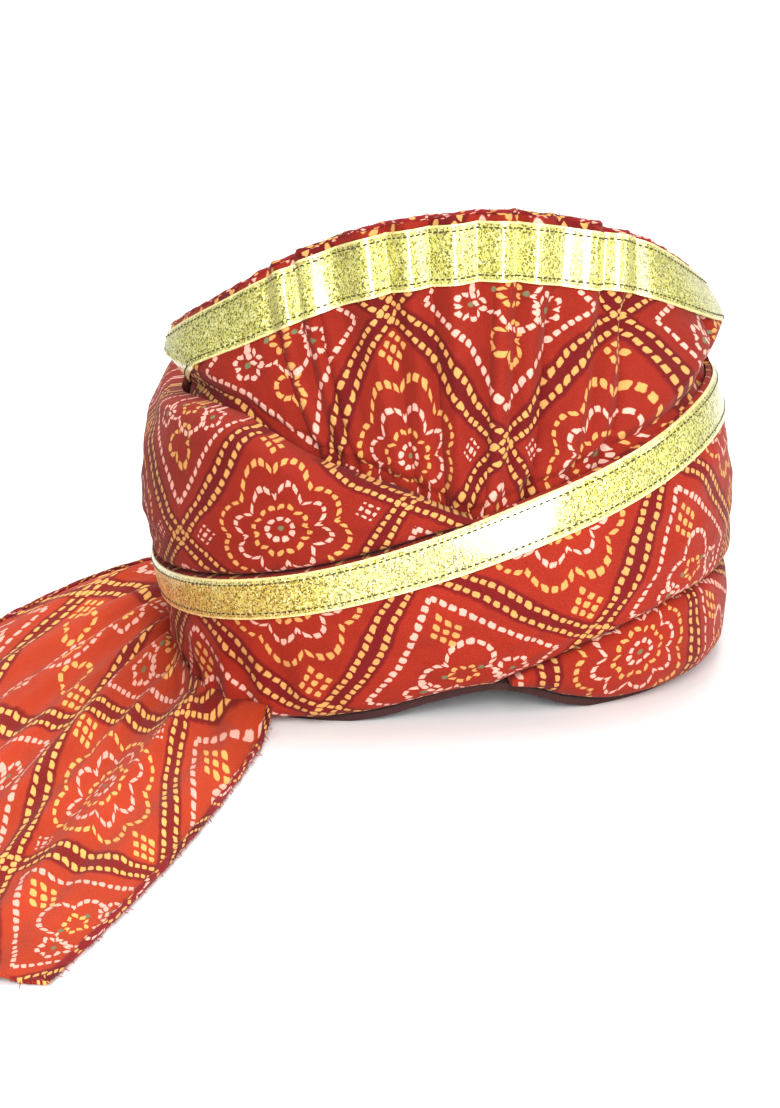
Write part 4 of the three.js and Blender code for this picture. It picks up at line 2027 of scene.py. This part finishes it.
@dataclass
class Fan(ClothPiece):
    """The pleated front cloth that stands up as the crest and is tucked in at the V."""

    flat: Pair = (0.1, 0.3)
    columns: int = 560
    rows: int = 78
    thickness: float = 1.8
    clear: float = 2.3
    close_up: float = 0.85
    edge_above_ribbon: float = 3.0
    bare_edge: float = 0.8
    bare_from: float = 32.5
    bare_to: float = 35.5
    belly: float = 5.0
    lean: float = 1.2
    lean_from: float = 3.0
    pleat_middle: float = 4.0
    pleated_to: float = 34.0
    plain_from: float = 44.0
    crest_fold: float = 2.4
    tuck_fold: float = 0.8
    spread: float = 0.944
    sharpness: float = 0.8
    creased: Pair = (0.16, 0.34)
    print_down: float = 0.12
    tuck_steep: float = 0.55
    tuck_soft: float = 2.4
    tuck_turns: Numbers = (-33, -23, 1, 13, 25, 40, 57)
    tuck_depths: Numbers = (1.6, 3.2, 1.4, 1.2, 3.0, 3.6, 2.6)

    node: ClassVar[str] = "fan"
    # Its darker ground and rows are painted shade.
    finish: ClassVar[PrintCloth] = PrintCloth(
        "fan_print", PAINTED_SHADE_RED, PAINTED_SHADE_ROWS, slide=(70.2, 69.2), size=(1.02, 1.12)
    )
    held: ClassVar[Held] = Held.GATHERED
    rests_on: ClassVar[Names] = ("inner_wrap", "lower_wrap", "left_wrap")
    at: ClassVar[Numbers] = (-66, -45.4, -26.3, -11, 2.8, 15.9, 33, 41, 66)
    crest_z: ClassVar[Curve] = Curve(at, (132, 146.5, 161, 169, 172, 172, 165.5, 162, 141))
    crest_radius: ClassVar[Curve] = Curve(
        at, (105.5, 101, 98.5, 100, 102.5, 106, 110, 110.5, 109.5)
    )
    pleats: ClassVar[Curve] = Curve(
        (-39.5, -30.9, -25, -12.2, -3.6, 5.2, 14.4, 20.9, 31.2, 37.5, 46), tuple(range(11))
    )
    low_turn: ClassVar[Curve] = Curve(at, (-54, -25, -12, -4, 2, 8, 18, 26, 80))
    low_z: ClassVar[Curve] = Curve(at, (97, 84, 72, 66, 64, 65, 72, 78.5, 97))

    def edge_above(self, crest: Array) -> Array:
        """Height of the cloth's edge over the ribbon, bare at the flat right end."""
        bare = smooth(crest, self.bare_from, self.bare_to)
        return mix(self.edge_above_ribbon, self.bare_edge, bare)

    def centre(self, crest: Array, down: Array) -> Array:
        """Points in the middle of the cloth.

        Args:
            crest: turns at the crest.
            down: shares of the way down to the tuck.

        Returns:
            The points.
        """
        form = self.form
        low_turn, low_z = self.low_turn(crest), self.low_z(crest)
        turn = mix(crest, low_turn, down)
        z = mix(self.crest_z(crest) + self.edge_above(crest), low_z, down)
        behind = form.turn_thickness + self.clear + self.thickness / 2
        low_radius = form.body_radius(low_turn, low_z) - behind
        free = mix(self.crest_radius(crest), low_radius, down) + self.belly * np.sin(np.pi * down)
        shows = np.maximum(0, z - form.cover_height(turn) - self.lean_from)
        room = form.body_radius(turn, z) - behind + self.lean * shows
        snug = form.tucked_in(turn, z) * (1 + self.close_up * self.clear / form.fan_tuck)
        free, room = free + snug, room + snug
        fade = 1 - smooth(np.abs(crest - self.pleat_middle), self.pleated_to, self.plain_from)
        height = mix(self.crest_fold, self.tuck_fold, down) * fade
        beat = np.cos(2 * np.pi * self.pleats(crest))
        ridge = np.arcsin(self.sharpness * beat) / np.arcsin(self.sharpness)
        return place(turn, np.minimum(free, room - height) + height * ridge, z)

    def crests(self) -> Array:
        """Turns of the columns at the crest."""
        return np.linspace(self.at[0], self.at[-1], self.columns)

    def tall(self, crest: Array) -> Array:
        """Height of the cloth from its top edge to the tuck."""
        whole = self.centre(crest, 0 * crest) - self.centre(crest, 0 * crest + 1)
        return np.linalg.norm(whole, axis=-1)

    def sheet(self) -> Sheet:
        """The fan's grids: pleats at the crest, and creases that close up to the V.

        Returns:
            The sheet.
        """
        crest = self.crests()[:, None]
        down = np.linspace(0, 1, self.rows)[None, :]
        middle = self.centre(crest, down)
        face = normals(middle)
        free = smooth(down, *self.creased)
        creases = 1.1 * Creases(71)(crest / 9 + 40, down * 1.6 + 3)
        creases = creases + 0.45 * Creases(72)(crest / 3.4 + 90, down * 3.2)
        creases = creases + 0.35 * Creases(73)(crest / 7 + 60, down * 9)
        for at, deep in zip(self.tuck_turns, self.tuck_depths):
            away = crest - at
            fall = np.where(away > 0, away / self.tuck_steep, -away / self.tuck_soft)
            creases = creases - deep * np.exp(-fall)
        middle = middle + face * (creases * free)[..., None]
        face = normals(middle)
        columns = crest[:, 0]
        run = run_length(self.centre(columns, 0 * columns + self.print_down))
        run = run - np.interp(self.pleat_middle, columns, run)
        tall = self.tall(columns)[:, None]
        cloth = flat_places(run[:, None] * self.spread, -down * tall)
        half = self.thickness / 2
        return Sheet(middle + half * face, middle - half * face, cloth)

    def extras(self, effects: Effects) -> list[Object]:
        """The rolled top edge with a few loose threads.

        Args:
            effects: the shared node groups.

        Returns:
            The objects.
        """
        crest = self.crests()
        edge = self.centre(crest, 0 * crest)
        hem = RolledHem("crest_hem", 1.15, 74).build(edge, effects)
        rise = edge - self.centre(crest, 0 * crest + 0.05)
        thread = PlainCloth("crest_thread", linear(150, 24, 28), linear(206, 70, 52))
        fringe = Fringe(
            "crest_threads", thread, pitch=2.2, length=2.2, thickness=0.2, spread=0.7, seed=5
        ).build([edge], [rise], effects)
        return [hem, fringe]


@dataclass
class GoldTrim(ClothPiece):
    """A gold ribbon with a row of stitches along each edge."""

    flat: Pair = (0.02, 0.3)
    width: float = 20.0
    thickness: float = 0.5
    stitch_in: float = 2.2
    stitch_pitch: float = 2.4
    stitch_length: float = 1.7
    stitch_thickness: float = 0.65
    stitch_lift: float = 0.05
    rows: int = 13

    slot: ClassVar[Slot] = Slot.GOLD
    held: ClassVar[Held] = Held.STRETCHED
    is_ring: ClassVar[bool] = False

    def line(self, below: float, out: float) -> Array:
        """Points along the ribbon, a distance below its top edge and out from the cloth."""
        raise NotImplementedError

    def sheet(self) -> Sheet:
        """The ribbon's grids.

        Returns:
            The sheet.
        """
        below = np.linspace(0, self.width, self.rows)
        outer = np.stack([self.line(b, self.thickness) for b in below], axis=1)
        inner = np.stack([self.line(b, 0.0) for b in below], axis=1)
        run = run_length(self.line(self.width / 2, 0.0))[:, None]
        cloth = flat_places(run, below[None, :])
        return Sheet(outer, inner, cloth, self.is_ring)

    @property
    def finish(self) -> GoldRibbon:
        """Gold glitter as wide as the ribbon."""
        return GoldRibbon(self.node + "_gold", self.width)

    def extras(self, effects: Effects) -> list[Object]:
        """The two rows of stitches.

        Args:
            effects: the shared node groups.

        Returns:
            The object, in a list.
        """
        thread = PlainCloth(self.node + "_thread", linear(46, 40, 16), linear(84, 72, 30))
        places = (self.stitch_in, self.width - self.stitch_in)
        rows = [self.line(below, self.thickness + self.stitch_lift) for below in places]
        stitches = repeated(
            self.node + "_stitches",
            rows,
            effects.stitches,
            Pitch=self.stitch_pitch * MM,
            Length=self.stitch_length * MM,
            Thickness=self.stitch_thickness * MM,
            Finish=thread.material(effects),
        )
        return [stitches]


@dataclass
class FanRibbon(GoldTrim):
    """The gold ribbon along the crest."""

    seat: float = 1.15

    node: ClassVar[str] = "fan_ribbon"
    rests_on: ClassVar[Names] = ("fan",)

    def line(self, below: float, out: float) -> Array:
        """Points along the ribbon, on the pleats' outer face.

        Args:
            below: distance down across the ribbon.
            out: distance out from the cloth.

        Returns:
            The points.
        """
        fan = Fan(self.form)
        crest = fan.crests()
        step = np.array([-0.5, 0, 0.5])
        under = fan.edge_above(crest)[:, None] + below + step[None, :]
        down = under / fan.tall(crest)[:, None]
        strip = fan.centre(crest[:, None], down)
        return strip[:, 1] + normals(strip)[:, 1] * (self.seat + out)


@dataclass
class BandRibbon(GoldTrim):
    """The gold ribbon round the top of the lower turn."""

    flat: Pair = (0.0155, 0.77)
    width: float = 15.2
    columns: int = 560
    top_clear: float = 0.4
    seat: float = 0.35
    wave: float = 0.25

    node: ClassVar[str] = "band_ribbon"
    rests_on: ClassVar[Names] = ("lower_wrap",)
    is_ring: ClassVar[bool] = True

    def line(self, below: float, out: float) -> Array:
        """Points round the band, at a distance down across its slope.

        Args:
            below: distance down across the ribbon.
            out: distance out from the cloth.

        Returns:
            The points.
        """
        form = self.form
        turn = full_turn(self.columns)
        drop = self.top_clear + below / np.cos(form.band_slope(turn))
        z = form.band_line(turn) - drop
        left = np.maximum(0, form.band_round - drop)
        back = form.band_round - np.sqrt(form.band_round**2 - left**2)
        waves = self.wave * (1 + Creases(81, 30)(way_round(turn) * 30, 0 * turn + below / 12))
        return place(turn, form.swollen(turn, z) - back + self.seat + waves + out, z)


@dataclass
class Tail(ClothPiece):
    """The loose end of the cloth, laid out on the surface."""

    flat: Pair = (0.25, 0.3)
    area: float | None = 0.054
    columns: int = 230
    rows: int = 170
    thickness: float = 1.2
    lowest: float = 0.35
    root_lift: float = 7.0
    root_share: float = 0.12
    root_clear: float = 0.8
    folds_from: float = 0.15
    end_fold: float = 0.35
    edge_share: float = 0.04
    edge_fold: float = 0.25
    hem_radius: float = 1.1
    hem_lift: float = 1.62
    near_root: float = -28.5
    far_root: float = -143.0
    near_bend: Pair = (-75, -206)
    near_end: Pair = (-109, -290.5)
    far_bend: Pair = (-188, 178)
    far_end: Pair = (-262, -262)
    fold_at: Numbers = (0.07, 0.17, 0.28, 0.39, 0.51, 0.63, 0.75, 0.87)
    fold_wide: Numbers = (0.03, 0.04, 0.03, 0.045, 0.035, 0.045, 0.035, 0.045)
    fold_tall: Numbers = (4.5, 8, 6, 9.5, 7, 9, 6.5, 7.5)

    node: ClassVar[str] = "tail"
    finish: ClassVar[PrintCloth] = PrintCloth(
        "tail_print",
        ground=linear(172, 54, 24),
        shade=linear(122, 24, 18),
        yellow=linear(228, 170, 92),
        slide=(-18, -30),
        turned=-12,
        size=(1.9, 1.2),
    )
    held: ClassVar[Held] = Held.LAID
    rests_on: ClassVar[Names] = ("floor", "lower_wrap")

    def plan(self, across: Array, along: Array) -> tuple[Array, Array]:
        """Places on the surface under the tail.

        Args:
            across: shares across it from the near edge.
            along: shares along it from the root.

        Returns:
            The places' x and y.
        """
        form = self.form
        turn = mix(self.near_root, self.far_root, across)
        root = place(turn, form.swollen(turn, self.root_lift) + self.root_clear, 0 * turn)
        x, y = (
            root[..., axis] * (1 - along) ** 2
            + 2 * mix(self.near_bend[axis], self.far_bend[axis], across) * along * (1 - along)
            + mix(self.near_end[axis], self.far_end[axis], across) * along**2
            for axis in (0, 1)
        )
        return x, y

    def height(self, across: Array, along: Array) -> Array:
        """Height of the cloth's underside: lengthwise folds and finer creases.

        Args:
            across: shares across it from the near edge.
            along: shares along it from the root.

        Returns:
            The heights.
        """
        shift = 0.02 * np.sin(5 * along + 9 * across)
        folds = zip(self.fold_at, self.fold_wide, self.fold_tall)
        tall = sum(up * bell((across + shift - at) / wide) for at, wide, up in folds)
        fine = 1.5 * Creases(91)(across * 15, along * 2.6)
        fine = fine + 0.8 * Creases(92)(across * 34, along * 6)
        fine = fine + 1.1 * Creases(93).ridged(across * 17, along * 2.2)
        grow = smooth(along, 0, self.folds_from) * mix(1, self.end_fold, along)
        lift = self.root_lift * (1 - smooth(along, 0, self.root_share))
        edge = mix(self.edge_fold, 1, smooth(np.minimum(across, 1 - across), 0, self.edge_share))
        return self.lowest + np.maximum(0, (tall + fine) * grow * edge) + lift

    def surface(self, across: Array, along: Array) -> Array:
        """Points of the cloth's underside.

        Args:
            across: shares across it from the near edge.
            along: shares along it from the root.

        Returns:
            The points.
        """
        across, along = np.broadcast_arrays(across, along)
        x, y = self.plan(across, along)
        return np.stack([x, y, self.height(across, along)], axis=-1)

    def sheet(self) -> Sheet:
        """The tail's grids.

        Returns:
            The sheet.
        """
        across = np.linspace(0, 1, self.columns)[:, None]
        along = np.linspace(0, 1, self.rows)[None, :]
        under = self.surface(across, along)
        over = under + np.array([0, 0, self.thickness])
        wide = run_length(self.surface(across[:, 0], 0 * across[:, 0] + 0.7))[:, None]
        long = run_length(self.surface(0 * along[0] + 0.5, along[0]))[None, :]
        cloth = flat_places(long, wide)
        return Sheet(over, under, cloth)

    def extras(self, effects: Effects) -> list[Object]:
        """Rolled long edges, and loose threads along the near edge and the cut end.

        Args:
            effects: the shared node groups.

        Returns:
            The objects.
        """
        share = np.linspace(0.02, 1, 220)
        none, full = 0 * share, 0 * share + 1
        half, lifted = (np.array([0, 0, up]) for up in (self.thickness / 2, self.hem_lift))
        near, far = self.surface(none, share), self.surface(full, share)
        hems = [
            RolledHem(name, self.hem_radius, seed).build(edge + lifted, effects)
            for name, edge, seed in (("tail_near_hem", near, 94), ("tail_far_hem", far, 95))
        ]
        near, end = near + half, self.surface(share, full) + half
        beside = near - self.surface(none + 0.02, share)
        ahead = end - self.surface(share, full - 0.02)
        ways = [way * np.array([1, 1, 0]) + np.array([0, 0, 0.4]) for way in (beside, ahead)]
        thread = PlainCloth("tail_thread", linear(150, 26, 30), linear(204, 72, 56))
        fringe = Fringe(
            "tail_threads", thread, pitch=2.0, length=2.6, thickness=0.22, spread=0.6, seed=8
        ).build([near, end], ways, effects)
        return [*hems, fringe]


# The stage


@dataclass(frozen=True)
class Light:
    """One soft light.

    Attributes:
        name: its name.
        spot: where it stands, in metres.
        size: its width and height.
        power: its power in watts.
        target: the point that it faces.
    """

    name: str
    spot: Spot
    size: Pair
    power: float
    target: Spot = (0.0, 0.0, 0.07)

    def build(self) -> None:
        """Makes the light."""
        data = bpy.data.lights.new(self.name, "AREA")
        data.shape = "RECTANGLE"
        data.size, data.size_y = self.size
        data.energy = self.power
        lamp = linked(self.name, data)
        lamp.location = self.spot
        facing = Vector(self.target) - Vector(self.spot)
        lamp.rotation_euler = facing.to_track_quat("-Z", "Y").to_euler()


@dataclass(frozen=True)
class Studio:
    """A pale floor, soft light and the camera at the photograph's angle.

    Attributes:
        eye: the camera's place.
        lens, sensor: its lens and the sensor's width.
        pitch, yaw, roll: where it looks, in degrees.
        fill: strength of the even light from all round.
        floor_half, floor_front, floor_back: half the floor's width and its ends, in metres.
        floor_bend, floor_rise: radius of the sweep behind the turban, and its height.
        floor_tones: the floor's two pale tones.
        lights: the soft lights.
    """

    eye: Spot = (0.0, -687.1, 228.6)
    lens: float = 55.6
    sensor: float = 36.0
    pitch: float = -16.27
    yaw: float = -1.79
    roll: float = -3.5
    fill: float = 0.36
    floor_half: float = 3.0
    floor_front: float = -3.0
    floor_back: float = 1.8
    floor_bend: float = 0.9
    floor_rise: float = 2.4
    floor_tones: tuple[Colour, Colour] = ((0.82, 0.83, 0.83, 1), (0.86, 0.87, 0.87, 1))
    lights: tuple[Light, ...] = (
        Light("key", (0.18, -1.22, 0.5), (0.3, 0.9), 16),
        Light("high", (0.1, -1.15, 1.3), (0.3, 0.7), 8.5),
        Light("side", (1.2, -0.5, 0.7), (0.5, 0.5), 4),
        Light("top", (0.0, 0.3, 1.5), (1.0, 1.0), 15),
        Light("backdrop", (0.0, 0.9, 2.3), (1.4, 1.4), 60, (0.0, 2.7, 0.7)),
    )

    def camera(self) -> None:
        """Makes the scene's camera."""
        pitch, yaw, roll = (math.radians(a) for a in (self.pitch, self.yaw, self.roll))
        ahead = Vector(
            (math.sin(yaw) * math.cos(pitch), math.cos(yaw) * math.cos(pitch), math.sin(pitch))
        )
        level = Vector((math.cos(yaw), -math.sin(yaw), 0))
        upright = level.cross(ahead)
        right = level * math.cos(roll) + upright * math.sin(roll)
        up = upright * math.cos(roll) - level * math.sin(roll)
        data = bpy.data.cameras.new("camera")
        data.lens = self.lens
        data.sensor_width = self.sensor
        data.clip_start, data.clip_end = 0.02, 20
        camera = linked("camera", data)
        turned = Matrix((right, up, -ahead)).transposed().to_4x4()
        camera.matrix_world = Matrix.Translation(Vector(self.eye) * MM) @ turned
        bpy.context.scene.camera = camera

    def world(self) -> None:
        """Even pale light from all round."""
        world = bpy.data.worlds.new("studio")
        world.use_nodes = True
        back = world.node_tree.nodes["Background"]
        back.inputs["Color"].default_value = (1, 1, 1, 1)
        back.inputs["Strength"].default_value = self.fill
        bpy.context.scene.world = world
        bpy.context.scene.view_settings.view_transform = "Standard"

    def floor(self) -> None:
        """A pale floor that sweeps up behind the turban."""
        bend, wall = self.floor_bend, self.floor_back + self.floor_bend
        arc = np.radians(np.linspace(0, 90, 17))
        y = np.concatenate([[self.floor_front], self.floor_back + bend * np.sin(arc), [wall]])
        z = np.concatenate([[0.0], bend * (1 - np.cos(arc)), [self.floor_rise]])
        points = [(side * self.floor_half, a, b) for a, b in zip(y, z) for side in (-1, 1)]
        faces = [(2 * i, 2 * i + 1, 2 * i + 3, 2 * i + 2) for i in range(len(y) - 1)]
        mesh = bpy.data.meshes.new("floor")
        mesh.from_pydata(points, [], faces)
        mesh.shade_smooth()
        made = MaterialTree("pale_floor")
        spot = made.add("TexCoord").outputs["Object"]
        mottle = made.add("TexNoise", in_Vector=spot, in_Scale=5.0)
        colour = made.blend(mottle.outputs["Fac"], *self.floor_tones)
        made.feed(Base_Color=colour, Roughness=0.6)
        mesh.materials.append(made.material)
        linked("floor", mesh)

    def build(self) -> None:
        """Sets the whole stage."""
        self.camera()
        self.world()
        self.floor()
        for light in self.lights:
            light.build()


def main() -> None:
    """Loads the frame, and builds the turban's pieces and the stage."""
    logging.basicConfig(level=logging.INFO, format="%(name)s: %(message)s")
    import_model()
    Studio().build()
    form = TurbanForm()
    effects = Effects.build()
    inside: tuple[type[ClothPiece], ...] = (RimLining, Crown, InnerWrap)
    front: tuple[type[ClothPiece], ...] = (Fan, FanRibbon)
    turns: tuple[type[ClothPiece], ...] = (LeftWrap, LowerWrap, BandRibbon, UnderWrap, Tail)
    for kind in (*inside, *front, *turns):
        made = kind(form).build(effects)
        LOG.info("%s: %d faces", made.name, len(made.data.polygons))


if __name__ == "__main__":
    main()
